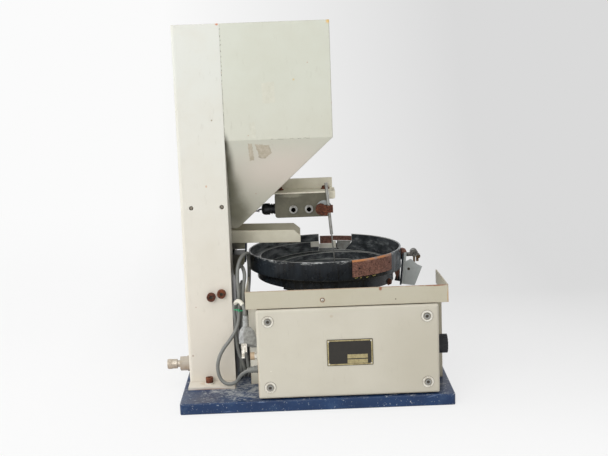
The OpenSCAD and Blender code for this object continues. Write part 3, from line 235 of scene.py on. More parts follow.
cord = smooth_line("power_cord_jacket", cord_route, cord_d / 2, grey_vinyl, "frame")
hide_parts("power_cord")

# The sleeve is moulded on the cord: five thin collars on a taper of 21 mm, with a
# flange and a neck that pass through a black bushing in the box's side. The
# bushing's vinyl is near black, with a soft even sheen.
black_vinyl = mottled("moulded black vinyl", "#121213", "#262627", 1, 2, 0.05, IOR=1.53)
relief_low, relief_high = box_mm("strain_relief")
relief_mid = (relief_low + relief_high) / 2
neck = Vector((relief_high.x, relief_mid.y, relief_mid.z))
flange = Vector((box_mm("control_box")[0].x, relief_mid.y, relief_mid.z))
flange_face = flange - Vector((2, 0, 0))
sleeve_line = [neck, flange, flange, flange_face, flange_face]
sleeve_radii = [5.5, 5.5, 7.5, 7.5, 6.4]
sleeve_end = cord_route[1].lerp(cord_route[2], 0.05)
collars = 5
root_r, tip_r = 6.2, 3.8
for i in range(collars):
    for along, collar in ((0.1, 0), (0.5, 0), (0.5, 0.8), (0.8, 0.8), (0.8, 0)):
        share = (i + along) / collars
        first = flange_face.lerp(cord_route[0], min(1, share / 0.35))
        then = cord_route[0].lerp(cord_route[1], min(1, max(0, share - 0.35) / 0.4))
        last = cord_route[1].lerp(sleeve_end, max(0, share - 0.75) / 0.25)
        sleeve_line.append(first if share < 0.35 else then if share < 0.75 else last)
        sleeve_radii.append(root_r + (tip_r - root_r) * share + collar * (1 - 0.4 * share))
sleeve = turned_piece("cord_sleeve", sleeve_line, sleeve_radii, grey_vinyl, "frame", 32)
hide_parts("strain_relief")
turned_piece("cord_bushing", [flange + Vector((out, 0, 0)) for out in (0.5, 0, -2.2, -3, -3)],
             (7.6, 8.4, 8.4, 7.8, 6), black_vinyl, "frame", 32)

# A green paper twist tie holds the turns together at the front, with its ends
# twisted up. Its paper is flat green, paler along its creases.
green_tie = mottled("green paper twist tie", "#1F8A55", "#4DB584", 2.5, 3, 0.3, rough=0.6)
tie_mid = Vector((-127.5, -87, 151))
tie_wide, tie_deep = 11.2, 7.2
tie_loop = []
for i in range(17):
    t = math.tau * (i / 16 + 0.72)
    rise = 1.2 * math.sin(t) + 0.1 * i
    tie_loop.append(tie_mid + Vector((tie_wide * math.cos(t), tie_deep * math.sin(t), rise)))
tie_loop.insert(0, tie_loop[0] + Vector((1.5, -2, 3.5)))
tie_loop.append(tie_loop[-1] + Vector((1.5, -2.2, -3)))
smooth_line("cord_tie", tie_loop, 1.1, green_tie, "frame", 6, 2)

# A band of cream cloth tape is left on the tail above the plug: matt, with its
# weave as a slanting rib.
cloth_tape, add, place = new_material("cream cloth tape")
weave = add("TexWave", place, Scale=1 / (6 * MM), Distortion=2, output="Fac", bands_direction="DIAGONAL")
surface(add, add("MixRGB", weave, "#CFCBBE", "#E6E3D9"), 0.85, 0.15, weave)


def along_cord(first, last, steps=6):
    """Points on the cord's middle between two of its knots, where its smooth curve runs."""
    middle = []
    for i in range(first, last):
        ends = []
        for k in (i, i + 1):
            near, far = cord_route[max(k - 1, 0)], cord_route[min(k + 1, len(cord_route) - 1)]
            here = cord_route[k]
            back, ahead = (here - near).length or 1, (far - here).length or 1
            lean = ((here - near) / back + (far - here) / ahead)
            lean /= 2.5614 * lean.length
            ends.append((here, lean * back, lean * ahead))
        (start, _, leave), (end, arrive, _) = ends
        for s in (k / steps for k in range(steps)):
            middle.append(start * (1 - s) ** 3 + (start + leave) * 3 * s * (1 - s) ** 2
                          + (end - arrive) * 3 * s * s * (1 - s) + end * s ** 3)
    return middle


tape_line = along_cord(len(cord_route) - 6, len(cord_route) - 1)[3:-9]
tape_radii = [cord_d / 2 + 0.35 + 0.15 * (i % 3 == 0) for i in range(len(tape_line))]
tape_radii[0] = tape_radii[-1] = cord_d / 2 + 0.1
turned_piece("cord_tape", tape_line, tape_radii, cloth_tape, "frame")

# The plug is moulded from a lighter vinyl, with the mould's fine grain, and its
# two blades are bright plated brass.
plug_vinyl, add, place = new_material("light grey moulded vinyl")
pores = add("TexNoise", place, Scale=1 / (1.4 * MM), Detail=3)
dirt = add("TexNoise", place, Scale=1 / (6 * MM), Detail=5, Roughness=0.7)
colour = add("MixRGB", add("MapRange", dirt, 0.4, 0.7), "#AEB0AF", "#7E7E7B")
surface(add, colour, 0.45, 0.1, pores, add("Bevel", 0.8 * MM, samples=4), IOR=1.53)


def dress(material, *names):
    """Gives CAD nodes a finish, and shades their round faces smoothly."""
    for name in names:
        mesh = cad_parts[name].data
        mesh.materials.clear()
        mesh.materials.append(material)
        mesh.shade_smooth()
        mesh.set_sharp_from_angle(angle=math.radians(32))


def dress_part(name, material, chosen):
    """Gives one more finish to faces of a CAD node, chosen by their middles, in mm, and normals."""
    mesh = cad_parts[name].data
    mesh.materials.append(material)
    for face in mesh.polygons:
        if chosen(face.center / MM, face.normal):
            face.material_index = len(mesh.materials) - 1


plated_brass = mottled(
    "nickel-plated brass", "#ECE8DF", "#A8A294", 5, 4, 0.05, spread=(0.35, 0.65), rough=(0.25, 0.45),
    edge_mm=0.3, Metallic=0.4)
blade_length = 22
blades_below = box_mm("cord_plug")[0].z + blade_length
dress(plug_vinyl, "cord_plug")
dress_part("cord_plug", plated_brass, lambda middle, normal: middle.z < blades_below and
           (abs(normal.x) > 0.95 or abs(normal.y) > 0.9 or middle.z < blades_below - 10))


# ------------------------------------------------------- floor and lamps
# A pale sweep of studio paper that curves up behind the feeder. One wide soft
# lamp stands in front on the left, with weaker ones low in front, at the side and
# overhead.
sweep = bmesh.new()
bend = 1.2
rail = [(-3.0, 0.0), (bend, 0.0)]
rail += [(bend + bend * math.sin(a), bend - bend * math.cos(a))
         for a in (math.radians(10 * i) for i in range(1, 10))]
rail += [(2 * bend, 5.0)]
rows = [[sweep.verts.new((x, y, z)) for x in (-6, 6)] for y, z in rail]
for near, far in zip(rows, rows[1:]):
    sweep.faces.new((near[0], near[1], far[1], far[0])).smooth = True
paper_mesh = bpy.data.meshes.new("studio_paper")
sweep.to_mesh(paper_mesh)
paper = bpy.data.objects.new("studio_paper", paper_mesh)
bpy.context.scene.collection.objects.link(paper)

# Matt white paper. To the camera, and in glossy faces, it glows as a lit studio
# wall does, a little greyer at its upper right, and it keeps the feeder's shadow.
white_paper, add, place = new_material("matt white studio paper")
across = add("SeparateXYZ", place, output="X")
depth = add("SeparateXYZ", place, output="Y")
dim = add("Math", add("MapRange", across, -0.5, 0.6), add("MapRange", depth, -0.4, 0.6),
          operation="MULTIPLY")
glow = add("Emission", Strength=1, Color=add("MixRGB", dim, "#FBFBFB", "#DADADA"))
seen = add("LightPath", output="Is Camera Ray")
seen = add("Math", seen, add("LightPath", output="Is Glossy Ray"), operation="MAXIMUM")
seen = add("Math", seen, add("LightPath", output="Is Transmission Ray"), operation="MAXIMUM")
share = add("Math", seen, add("MapRange", depth, 0.4, 1.6, 0.8, 1), operation="MULTIPLY")
matt = add("BsdfPrincipled", Base_Color="#EDEDED", Roughness=0.9)
add("OutputMaterial", add("MixShader", share, matt, glow))
paper_mesh.materials.append(white_paper)

# square area lamps, each turned to a height on the feeder
for name, at, faces_z, size, watts in (
    ("key_lamp", (-1.2, -2.3, 1.4), 0.3, 1.6, 31), ("fill_lamp", (-0.4, -2.6, 0.5), 0.25, 1.6, 4.5),
    ("side_lamp", (-2.3, 0.1, 1.1), 0.3, 1.2, 14), ("top_lamp", (-0.2, -0.7, 2.7), 0.2, 1.6, 16),
):
    lamp = bpy.data.lights.new(name, "AREA")
    lamp.size = size
    lamp.energy = watts
    hung = bpy.data.objects.new(name, lamp)
    hung.location = at
    hung.rotation_euler = (Vector((0, 0, faces_z)) - Vector(at)).to_track_quat("-Z", "Y").to_euler()
    bpy.context.scene.collection.objects.link(hung)

world = bpy.data.worlds.new("studio")
bpy.context.scene.world = world
world.use_nodes = True
world.node_tree.nodes["Background"].inputs["Color"].default_value = linear("#F4F4F4")
world.node_tree.nodes["Background"].inputs["Strength"].default_value = 0.62


# --------------------------------------------------------------- base plate
# A slab of three-quarter inch steel plate with its edges eased, brushed over with
# blue machine enamel, and since chipped, scratched and splashed with pale paint.
def worn_edge(add, fold_mm, samples=6, flat=0.985, bent=0.9):
    """A normal that rounds every fold by a radius, and how far each point is on a fold."""
    rounded = add("Bevel", fold_mm * MM, samples=samples)
    turned = add("VectorMath", rounded, add("NewGeometry", output="Normal"), output="Value",
                 operation="DOT_PRODUCT")
    return rounded, add("MapRange", turned, flat, bent)


def shares_away(add, place, middle, reach):
    """How far a point is from a middle, in shares of a reach along each axis, both in mm."""
    away = add("VectorMath", place, Vector(middle) * MM, operation="SUBTRACT")
    away = add("VectorMath", away, Vector(reach) * MM, operation="DIVIDE")
    return add("VectorMath", away, output="Value", operation="LENGTH")


# Brushed gloss enamel: deeper where it pooled, with pale pits, long scratches and
# specks of another paint, so it reads as a dusty dark blue, paler on top with painted light.
blue_enamel, add, place = new_material("blue brushed gloss enamel")
cloud = add("TexNoise", place, Scale=1 / (50 * MM), Detail=4)
colour = add("MixRGB", cloud, "#0B1F40", "#1D3F6A")
flecks = add("TexNoise", place, Scale=1 / (3.2 * MM), Detail=4, Roughness=0.6)
colour = add("MixRGB", add("MapRange", flecks, 0.64, 0.7, 0, 0.75), colour, "#A5AFBB")
splashes = add("TexNoise", place, Scale=1 / (10 * MM), Detail=5, Roughness=0.7)
colour = add("MixRGB", add("MapRange", splashes, 0.65, 0.69, 0, 0.8), colour, "#C9CCCB")
dull = add("TexNoise", place, Scale=1 / (26 * MM), Detail=6, Roughness=0.7)
colour = add("MixRGB", add("MapRange", dull, 0.52, 0.75, 0, 0.35), colour, "#4C6480")
dragged = add("Mapping", place, Scale=(0.12, 1.6, 1))
scratches = add("TexNoise", dragged, Scale=1 / (5 * MM), Detail=3)
colour = add("MixRGB", add("MapRange", scratches, 0.66, 0.72, 0, 0.5), colour, "#7F93B4")
# dust, rubbed paint and a painted light on the plate's top, thickest between the column and the box
top = add("MapRange", add("SeparateXYZ", add("NewGeometry", output="Normal"), output="Z"), 0.5, 0.9)
dust_and_light_grain = add("TexNoise", place, Scale=1 / (8 * MM), Detail=6, Roughness=0.75)
near_cord = shares_away(add, place, (-125, -120, 19), (75, 70, 1000))
thick = add("MapRange", near_cord, 1.2, 0.4, 0.1, 0.22, interpolation_type="SMOOTHSTEP")
dust_and_top_light = add("MapRange", add("Math", dust_and_light_grain, thick, operation="ADD"), 0.64, 0.8, 0, 0.8)
colour = add("MixRGB", add("Math", dust_and_top_light, top, operation="MULTIPLY"), colour, "#B3B6B6")
# the enamel is knocked off its top edges in short chips
rounded, edge = worn_edge(add, 2.2)
knocks = add("TexNoise", add("Mapping", place, Scale=(0.35, 0.35, 1)), Scale=1 / (8 * MM),
             Detail=4, Roughness=0.7)
chips = add("Math", edge, add("MapRange", knocks, 0.46, 0.56), operation="MULTIPLY")
colour = add("MixRGB", add("Math", chips, 0.85, operation="MULTIPLY"), colour, "#D6D9DA")
surface(add, colour, (cloud, 0.28, 0.46), 0.12, flecks, rounded, IOR=1.5, Specular_IOR_Level=0.35)
dress(blue_enamel, "base_plate")


# ------------------------------------------------------------------- column
# A column folded from 3 mm sheet, welded to a foot plate and closed at its back
# by a screwed cover, all sprayed in cream machine enamel. A stitched weld joins
# its front to the hopper's.
def sprayed_enamel(name, upper, lower, stain, rust, mottle_mm=60, rust_and_highlight_colour="#9A5A32", fold_mm=0.9,
                   marks=()):
    """Sprayed and stoved enamel on sheet: satin, mottled by handling, with fly specks and worn
    edges in an edge colour, which is rust on most pieces and a pale painted highlight on the
    cabinet; and marks: each a middle, a reach, a colour, a depth and how ragged."""
    made, add, place = new_material(name)
    rise = add("MapRange", add("SeparateXYZ", place, output="Z"), 120 * MM, 550 * MM)
    colour = add("MixRGB", rise, lower, upper)
    mottle = add("TexNoise", place, Scale=1 / (mottle_mm * MM), Detail=5, Roughness=0.6)
    colour = add("MixRGB", add("MapRange", mottle, 0.4, 0.75, 0, 0.4), colour, stain)
    hung = add("Mapping", place, Scale=(1.6, 1.6, 0.5))
    grime = add("TexNoise", hung, Scale=1 / (13 * MM), Detail=6, Roughness=0.7)
    colour = add("MixRGB", add("MapRange", grime, 0.6, 0.8, 0, 0.25), colour, "#8E8670")
    ragged = add("TexNoise", place, Scale=1 / (9 * MM), Detail=5, Roughness=0.7)
    for middle, reach, tint, strength, torn in marks:
        away = add("Math", ragged, torn, shares_away(add, place, middle, reach), operation="MULTIPLY_ADD")
        share = add("MapRange", away, 1 + torn / 2, 0.1 + 0.8 * torn, 0, strength,
                    interpolation_type="SMOOTHSTEP")
        colour = add("MixRGB", share, colour, tint)
    specks = add("TexVoronoi", place, Scale=1 / (34 * MM), Randomness=1)
    specks = add("MapRange", specks, 0.035, 0.02, 0, 0.6)
    rounded, edge = worn_edge(add, fold_mm)
    eaten = add("TexNoise", place, Scale=1 / (17 * MM), Detail=5, Roughness=0.7)
    eaten = add("MapRange", eaten, 0.62 - rust, 0.7 - rust / 2)
    # worn edges and specks take the edge colour, which is rust on most pieces and a painted highlight on
    # the cabinet
    rusted = add("Math", add("Math", edge, eaten, operation="MULTIPLY"), specks, operation="MAXIMUM")
    colour = add("MixRGB", rusted, colour, rust_and_highlight_colour)
    skin = add("TexNoise", place, Scale=1 / (2.2 * MM), Detail=2)
    surface(add, colour, (mottle, 0.36, 0.5), 0.03, skin, rounded, IOR=1.5)
    return made


col_low, col_high = box_mm("column")
hop_high = box_mm("hopper")[1]
col_front = col_low.y
# cream enamel: warm white at the top, yellower and grubbier low down where hands
# and oil reach it, with rust weeping at the foot, a few brown dots, and painted
# shade, near black, on its lower right side
column_enamel = sprayed_enamel(
    "cream enamel of the column", "#D2D3CB", "#D9D2C5", "#CDC7B8", 0.03, fold_mm=1.6, marks=[
        ((col_high.x - 20, col_front, col_high.z - 159), (2, 3, 2), "#8A7A62", 0.9, 0.3),
        ((col_low.x + 46, col_front, col_high.z - 270), (2.4, 3, 3), "#C08E62", 0.7, 0.3),
        ((col_low.x + 8, col_front, col_low.z + 47), (2.4, 3, 2.4), "#8A5A3A", 0.6, 0.3),
        ((col_high.x - 4, col_front, col_high.z - 1), (3.5, 3, 3), "#C8784A", 0.9, 0.8),
        ((col_low.x + 40, -118.5, 20), (44, 2, 1.8), "#A27C68", 0.7, 0.4),
        ((-191, -98, 24), (14, 12, 3), "#B7A186", 0.5, 1.0),
        # painted shade: the column's right side is made near black below the hopper
        ((col_high.x, -30, 115), (1, 260, 160), "#12110D", 1.0, 0.1),
    ])
dress(column_enamel, "column", "column_foot", "column_cover")

# rust-brown weld metal, ground back and painted over, so only its pits show dark
stitch_weld = mottled(
    "painted-over stitch weld", "#5A5246", "#A39C8C", 3.5, 4, 0.4, tone=0.7, spread=(0.4, 0.6), rough=0.7)
random.seed(4)


def stitches(name, start, end, runs, gaps, wander=0.5, radius=0.45):
    """A broken line of weld between two points in mm, wandering as a hand does. Its runs and
    gaps vary between two lengths."""
    start, end = Vector(start), Vector(end)
    length = (end - start).length
    along = (end - start).normalized()
    across = along.cross(Vector((0, 1, 0)))
    done = 0.0
    shape = bmesh.new()
    while done < length:
        run = min(random.uniform(*runs), length - done)
        beads = [start + along * (done + run * k / 4) + across * random.uniform(-wander, wander)
                 for k in range(5)]
        turn(shape, beads, [radius * share for share in (0.3, 1, 0.8, 1, 0.3)], 6, Vector((0, 1, 0)))
        done += run + random.uniform(*gaps)
    fitted(name, shape, stitch_weld, "frame")


# painted shade: the column's inside faces are made near black, for the shade within it
inside_shade_black = mottled(
    "near-black painted shade inside the column", "#12110E", "#2E2B24", 20, 5, 0.1, rough=0.7, Specular_IOR_Level=0.3)
col_mid = (col_low + col_high) / 2
level = Vector((1, 1, 0))
for name in ("column", "column_cover"):
    dress_part(name, inside_shade_black, lambda middle, normal: (middle - col_mid).dot(normal * level) < -10)

# grey rubber buttons, long since hard, plug its two sight holes
button_rubber = mottled("hardened grey rubber", "#5E574C", "#92897B", 3, 4, 0.2, rough=0.8)
hole_z = col_low.z + 306.2
shape = bmesh.new()
for hole_x in (col_low.x + 18.7, col_high.x - 10.2):
    turn(shape, [Vector((hole_x, col_front + inwards, hole_z)) for inwards in (2.6, 1.2, 0.6, 0.6)],
         (2.7, 2.7, 2.1, 0.2))
fitted("sight_hole_buttons", shape, button_rubber, "frame")

# the weld to the hopper is in short stitches above and runs nearly whole below
weld_top = Vector((col_high.x + 0.6, col_front, hop_high.z))
weld_down = Vector((0, 0, -1))
stitches("column_weld", weld_top + weld_down * 8, weld_top + weld_down * 100,
         (1.6, 4.5), (3, 9), 0.7, 0.42)
stitches("column_seam", weld_top + weld_down * 104, weld_top + weld_down * 196,
         (14, 40), (0.5, 2), 0.3, 0.3)

# The foot is held by socket screws that have rusted, on washers once cream. The
# rust is a dull dark crust, with orange patches and orange worn edges.
rusted_steel, add, place = new_material("rusted mild steel")
crust = add("TexNoise", place, Scale=1 / (3 * MM), Detail=6, Roughness=0.75)
patches = add("TexNoise", place, Scale=1 / (12 * MM), Detail=4)
colour = add("MixRGB", add("MapRange", crust, 0.35, 0.65), "#160B07", "#74402C")
colour = add("MixRGB", add("MapRange", patches, 0.5, 0.7, 0, 0.4), colour, "#94502F")
_, edge = worn_edge(add, 0.6)
edge = add("Math", edge, add("MapRange", patches, 0.35, 0.6), operation="MULTIPLY")
colour = add("MixRGB", add("Math", edge, 0.7, operation="MULTIPLY"), colour, "#C4763C")
surface(add, colour, 0.85, 0.9, crust, Metallic=0.1)
dress(rusted_steel, "foot_bolts", "shelf_screws")

# their sockets are packed with old dirt, a millimetre below the heads' faces
socket_dirt_and_shade = mottled("packed black dirt and painted shade", "#1C1813", "#6E665A", 1.5, 4, 0.3, rough=0.95)
shelf_face = box_mm("shelf_screws")[0].y
dress_part("shelf_screws", socket_dirt_and_shade,
           lambda middle, normal: normal.y < -0.8 and middle.y > shelf_face + 1)
bolt_top = box_mm("foot_bolts")[1].z
dress_part("foot_bolts", socket_dirt_and_shade,
           lambda middle, normal: normal.z > 0.8 and middle.z < bolt_top - 1)

# moulded nylon gone ivory, with brown dirt rubbed into it
ivory_nylon = mottled(
    "ivory moulded nylon", "#DCD9CE", "#A89C86", 5, 5, 0.04, tone=0.7, spread=(0.45, 0.75), rough=0.4,
    edge_mm=0.5, IOR=1.53)
dress(ivory_nylon, "foot_washers")

# turned and rolled steel left bare: grey, drawn along its length, tarnished in spots
dull_steel, add, place = new_material("dull rolled steel")
drawn = add("TexNoise", add("Mapping", place, Scale=(1, 1, 0.2)), Scale=1 / (2 * MM), Detail=4)
tarnish = add("TexNoise", place, Scale=1 / (12 * MM), Detail=4)
colour = add("MixRGB", drawn, "#8A8A86", "#B8B8B3")
colour = add("MixRGB", add("MapRange", tarnish, 0.5, 0.7, 0, 0.6), colour, "#6E6457")
surface(add, colour, (tarnish, 0.3, 0.5), 0.04, drawn, add("Bevel", 0.3 * MM, samples=4), Metallic=0.85)
dress(dull_steel, "cover_plate_screws")


# ------------------------------------------------------------------- hopper
# Folded from 2 mm sheet, welded up its corners and to the column, and sprayed a
# greener cream. Tape pulled off its front has left its gum, and the fold above
# its slope has cracked and rusted.
knee_z = 440
slope_edge = col_high.x
hopper_enamel = sprayed_enamel(
    "green-cream enamel of the hopper", "#C8CABD", "#C3BBAC", "#BFBEAD", 0.03, rust_and_highlight_colour="#A8673A",
    fold_mm=3, marks=[
        ((-20, col_front, hop_high.z - 96), (2.6, 4, 2.6), "#CDB36A", 0.7, 0.3),
        ((hop_high.x - 2, col_front, hop_high.z - 2), (5, 4, 6), "#E0B45A", 0.8, 0.5),
        # painted light: the slope is lightened and warmed
        ((-40, -60, 385), (130, 70, 70), "#D7CCC1", 0.75, 0.1),
        # painted shadow of the column: a dark wedge on the slope beside it, widening downwards
        ((slope_edge, -84, 434), (9, 30, 26), "#3C392C", 1.0, 0.1),
        ((slope_edge, -66, 398), (17, 60, 72), "#5A5746", 0.95, 0.1),
        ((slope_edge, -40, 350), (30, 50, 60), "#6C6A58", 0.85, 0.2),
        ((slope_edge + 12, -20, 310), (34, 50, 45), "#7E7C6A", 0.8, 0.3),
    ])
dress(hopper_enamel, "hopper")


def landing(node, x, z, from_y=-400):
    """Where a line from the front, at x and z in mm, meets a CAD node, and its normal there."""
    hit, at, normal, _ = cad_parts[node].ray_cast(Vector((x, from_y, z)) * MM, Vector((0, 1, 0)))
    return (at, normal) if hit else (None, None)


def laid(shape, node, corners, ragged=0.8, step=1.5, lift=0.15):
    """Adds a thin patch with a ragged outline to a mesh, laid on the front of a CAD node."""
    outline = []
    for a, b in zip(corners, corners[1:] + corners[:1]):
        a, b = Vector(a), Vector(b)
        count = max(1, round((b - a).length / step))
        outline += [a.lerp(b, k / count) + Vector((random.uniform(-1, 1), random.uniform(-1, 1))) * ragged
                    for k in range(count)]
    upper, lower = [], []
    for x, z in outline:
        at, normal = landing(node, x, z)
        if at is None:
            return
        upper.append(shape.verts.new(at + normal * lift * MM))
        lower.append(shape.verts.new(at - normal * 0.1 * MM))
    top = shape.faces.new(upper)
    for k in range(len(upper)):
        shape.faces.new((upper[k - 1], lower[k - 1], lower[k], upper[k]))
    bmesh.ops.triangulate(shape, faces=[top])


# old tape gum: a thin, dull, pinkish-yellow film that has caught dust
tape_gum = mottled(
    "dried tape gum", "#ADA38F", "#C4BBAA", 6, 6, 0.2, tone=0.75, spread=(0.35, 0.65), rough=0.7)
bpy.context.view_layer.update()
shape = bmesh.new()
laid(shape, "hopper", [(-101, knee_z - 4), (-94, knee_z - 4), (-92, 406), (-99, 404)])
laid(shape, "hopper", [(-88, knee_z - 6), (-66, knee_z - 8), (-62, 418), (-72, 408), (-84, 411)], 1.4)
fitted("hopper_gum", shape, tape_gum, "frame")

# ghosts of labels taken off long ago: thin films, almost the enamel's colour
label_film = mottled(
    "film of an old label", "#C3C2B2", "#CCCBBD", 7, 6, 0.2, tone=0.75, spread=(0.35, 0.65), rough=0.6)
shape = bmesh.new()
laid(shape, "hopper", [(-74, 536), (-53, 538), (-52, 503), (-73, 502)], 0.5, 2.5, 0.12)
laid(shape, "hopper", [(-96, 470), (-88, 472), (-87, 445), (-95, 445)], 0.9, 2.5, 0.12)
fitted("hopper_label_films", shape, label_film, "frame")

# the crack runs just above the fold
crack_z = knee_z + 2
stitches("hopper_crack", (-62, col_front, crack_z), (4, col_front, crack_z), (4, 16), (2, 8), 0.5, 0.3)


# ------------------------------------------------------------- in-line tray
# A trough of sheet that has worn and yellowed, carried by two leaf springs over
# the coil of a small electromagnetic drive on a shelf inside the column.
tray_low, tray_high = box_mm("tray")
# thin cream enamel, yellowed, with brown at its mouth where the parts leave it
tray_enamel = sprayed_enamel(
    "worn enamel of the tray", "#D3CEBA", "#D3CEBA", "#ADA68E", 0.1, 26, marks=[
        ((tray_high.x, tray_low.y, tray_low.z + 20), (7, 10, 9), "#9C7A50", 0.7, 0.8),
        # painted shade: darker at the tray's end by the column, under the hopper
        ((slope_edge, tray_low.y, tray_low.z + 8), (50, 12, 30), "#8F8B78", 0.6, 0.3),
    ])
dress(tray_enamel, "tray")

# olive air-drying enamel, laid on with a brush over cast and plate steel
olive_enamel = sprayed_enamel(
    "olive brushed enamel of the drive", "#8E8A75", "#8A8670", "#77735E", 0.02, 25, marks=[
        # painted shade: near black beside the column, under the tray
        ((col_high.x, tray_low.y + 30, tray_low.z - 22), (18, 90, 44), "#35332A", 0.85, 0.8),
    ])
dress(olive_enamel, "tray_shelf", "tray_drive_base", "tray_carriage")

# spring steel blued by its tempering: dark, with a cool sheen
blued_steel = mottled(
    "blued spring steel", "#30353C", "#5C626A", 12, 4, 0.03, rough=0.4, skin=(1.5, 2), edge_mm=0.4,
    Metallic=0.9)
dress(blued_steel, "tray_springs")

# winding of lacquered copper wire under lapped cotton tape, dipped in varnish
taped_winding, add, place = new_material("varnished winding under cotton tape")
laps = add("TexWave", place, Scale=1 / (36 * MM), Distortion=0.6, output="Fac", bands_direction="Z")
varnish = add("TexNoise", place, Scale=1 / (7 * MM), Detail=4)
colour = add("MixRGB", laps, "#5E3A22", "#8A5A38")
colour = add("MixRGB", add("MapRange", varnish, 0.5, 0.7, 0, 0.6), colour, "#3C2416")
surface(add, colour, 0.38, 0.4, laps)
dress(taped_winding, "tray_coil")


# --------------------------------------------------------------- bowl drive
# Two black painted castings joined by four packs of blued leaf springs, with a
# laminated magnet and its coil between them, all on moulded rubber feet.

# painted grey iron: near black, with the sand's grain under the paint
black_casting = mottled(
    "black painted iron casting", "#1A1C1F", "#4A4B49", 25, 5, 0.25, tone=0.65, spread=(0.35, 0.75),
    rough=0.55, skin=(1.6, 3), edge_mm=1)
dress(black_casting, "drive_base", "drive_crown", "lower_clamps", "upper_clamps")
dress(blued_steel, "leaf_springs")

# moulded rubber: matt, grey with bloom and dust
black_rubber = mottled("moulded black rubber", "#161616", "#30302E", 10, 4, 0.1, rough=0.75)
dress(black_rubber, "drive_isolators")
dress(taped_winding, "drive_coil")

# stamped silicon-steel sheets, half a millimetre each: fine dark lines, drawn
# three times as coarse so that they show, over grey with a brown stain
laminations, add, place = new_material("stacked core laminations")
sheets = add("TexWave", place, Scale=1 / (9 * MM), output="Fac", bands_direction="Y")
stain = add("TexNoise", place, Scale=1 / (9 * MM), Detail=4)
colour = add("MixRGB", sheets, "#55565A", "#8C8D90")
colour = add("MixRGB", add("MapRange", stain, 0.5, 0.7, 0, 0.5), colour, "#6A4C3A")
surface(add, colour, 0.5, 0.15, sheets, Metallic=0.8)
dress(laminations, "drive_core", "armature")


# -------------------------------------------------------------------- bowl
# A stepped steel bowl, rolled and welded, with a track welded up its inside, and
# black coated. One stud and nut hold it to the drive.
bowl_low, bowl_high = box_mm("bowl")
bowl_mid = (bowl_low + bowl_high) / 2
bowl_r = (bowl_high.x - bowl_low.x) / 2
bowl_axis = Vector((bowl_mid.x, bowl_mid.y, 0))
rim_z = bowl_high.z


def bowl_wall(angle, z, out=0.0):
    """A point in mm on the outside of the bowl's wall, at degrees from its front, clockwise
    from above."""
    turned = math.radians(angle)
    return Vector((bowl_mid.x - (bowl_r + out) * math.sin(turned),
                   bowl_mid.y - (bowl_r + out) * math.cos(turned), z))


# Black wear coating, sprayed: glossy outside with bluish runs and scuffs along the
# rim where the metal and white dust show. Painted on it are a bluish sheen at its
# left, a grey sheen towards its right, a shadow under the upper band and a
# highlight on its lower folds.
black_coating, add, place = new_material("black sprayed coating")
hung = add("Mapping", place, Scale=(1, 1, 0.1))
runs = add("TexNoise", hung, Scale=1 / (7 * MM), Detail=4)
cloud = add("TexNoise", place, Scale=1 / (32 * MM), Detail=4)
colour = add("MixRGB", add("MapRange", runs, 0.35, 0.7), "#0A0C0F", "#1E2329")
colour = add("MixRGB", add("MapRange", cloud, 0.45, 0.75, 0, 0.4), colour, "#2C343D")
flecks = add("TexNoise", place, Scale=1 / (4 * MM), Detail=5, Roughness=0.7)
colour = add("MixRGB", add("MapRange", flecks, 0.64, 0.7, 0, 0.25), colour, "#7A8086")
height = add("SeparateXYZ", place, output="Z")
across = add("SeparateXYZ", place, output="X")
# a painted bluish sheen on the wall's left
sheen = shares_away(add, place, (bowl_low.x + 32, bowl_low.y + 50, rim_z - 20), (34, 50, 50))
sheen = add("MapRange", sheen, 1.1, 0.2, 0, 0.5, interpolation_type="SMOOTHSTEP")
colour = add("MixRGB", sheen, colour, "#353C43")
# painted shadow: a black line in the corner under the upper band
under = add("Math", add("MapRange", height, (rim_z - 43) * MM, (rim_z - 36) * MM),
            add("MapRange", height, (rim_z - 32.5) * MM, (rim_z - 34) * MM), operation="MULTIPLY")
colour = add("MixRGB", add("Math", under, 0.85, operation="MULTIPLY"), colour, "#060708")
rim = add("MapRange", height, (rim_z - 7) * MM, (rim_z - 1) * MM)
scuffs = add("TexNoise", add("Mapping", place, Scale=(0.4, 0.4, 1)), Scale=1 / (7 * MM), Detail=6,
             Roughness=0.75)
scuffed = add("Math", scuffs, add("Math", rim, 0.12, operation="MULTIPLY"), operation="ADD")
scuffed = add("MapRange", scuffed, 0.62, 0.72, 0, 0.8)
colour = add("MixRGB", add("Math", scuffed, rim, operation="MULTIPLY"), colour, "#C9CCCB")
# a painted grey sheen, streaked, towards the bowl's right
right_sheen = add("MapRange", across, 120 * MM, 165 * MM, 0, 0.75, interpolation_type="SMOOTHSTEP")
streaks = add("MapRange", runs, 0.36, 0.55, 0.35, 1)
colour = add("MixRGB", add("Math", right_sheen, streaks, operation="MULTIPLY"), colour, "#6B737B")
# the folds are pale: rubbed to the metal near the rim, and lower down a painted highlight
rounded, edge = worn_edge(add, 1.2)
bites = add("TexNoise", place, Scale=1 / (8 * MM), Detail=5, Roughness=0.7)
upper_edge = add("MapRange", height, (rim_z - 18) * MM, (rim_z - 8) * MM, 0.3, 1)
rubbed = add("Math", edge, add("MapRange", bites, 0.38, 0.55), operation="MULTIPLY")
rubbed = add("Math", rubbed, upper_edge, operation="MULTIPLY")
colour = add("MixRGB", add("Math", rubbed, 0.8, operation="MULTIPLY"), colour, "#B4B5B1")
surface(add, colour, (cloud, 0.18, 0.36), 0.1, runs, rounded, IOR=1.5, Specular_IOR_Level=0.3)
dress(black_coating, "bowl", "spiral_track")

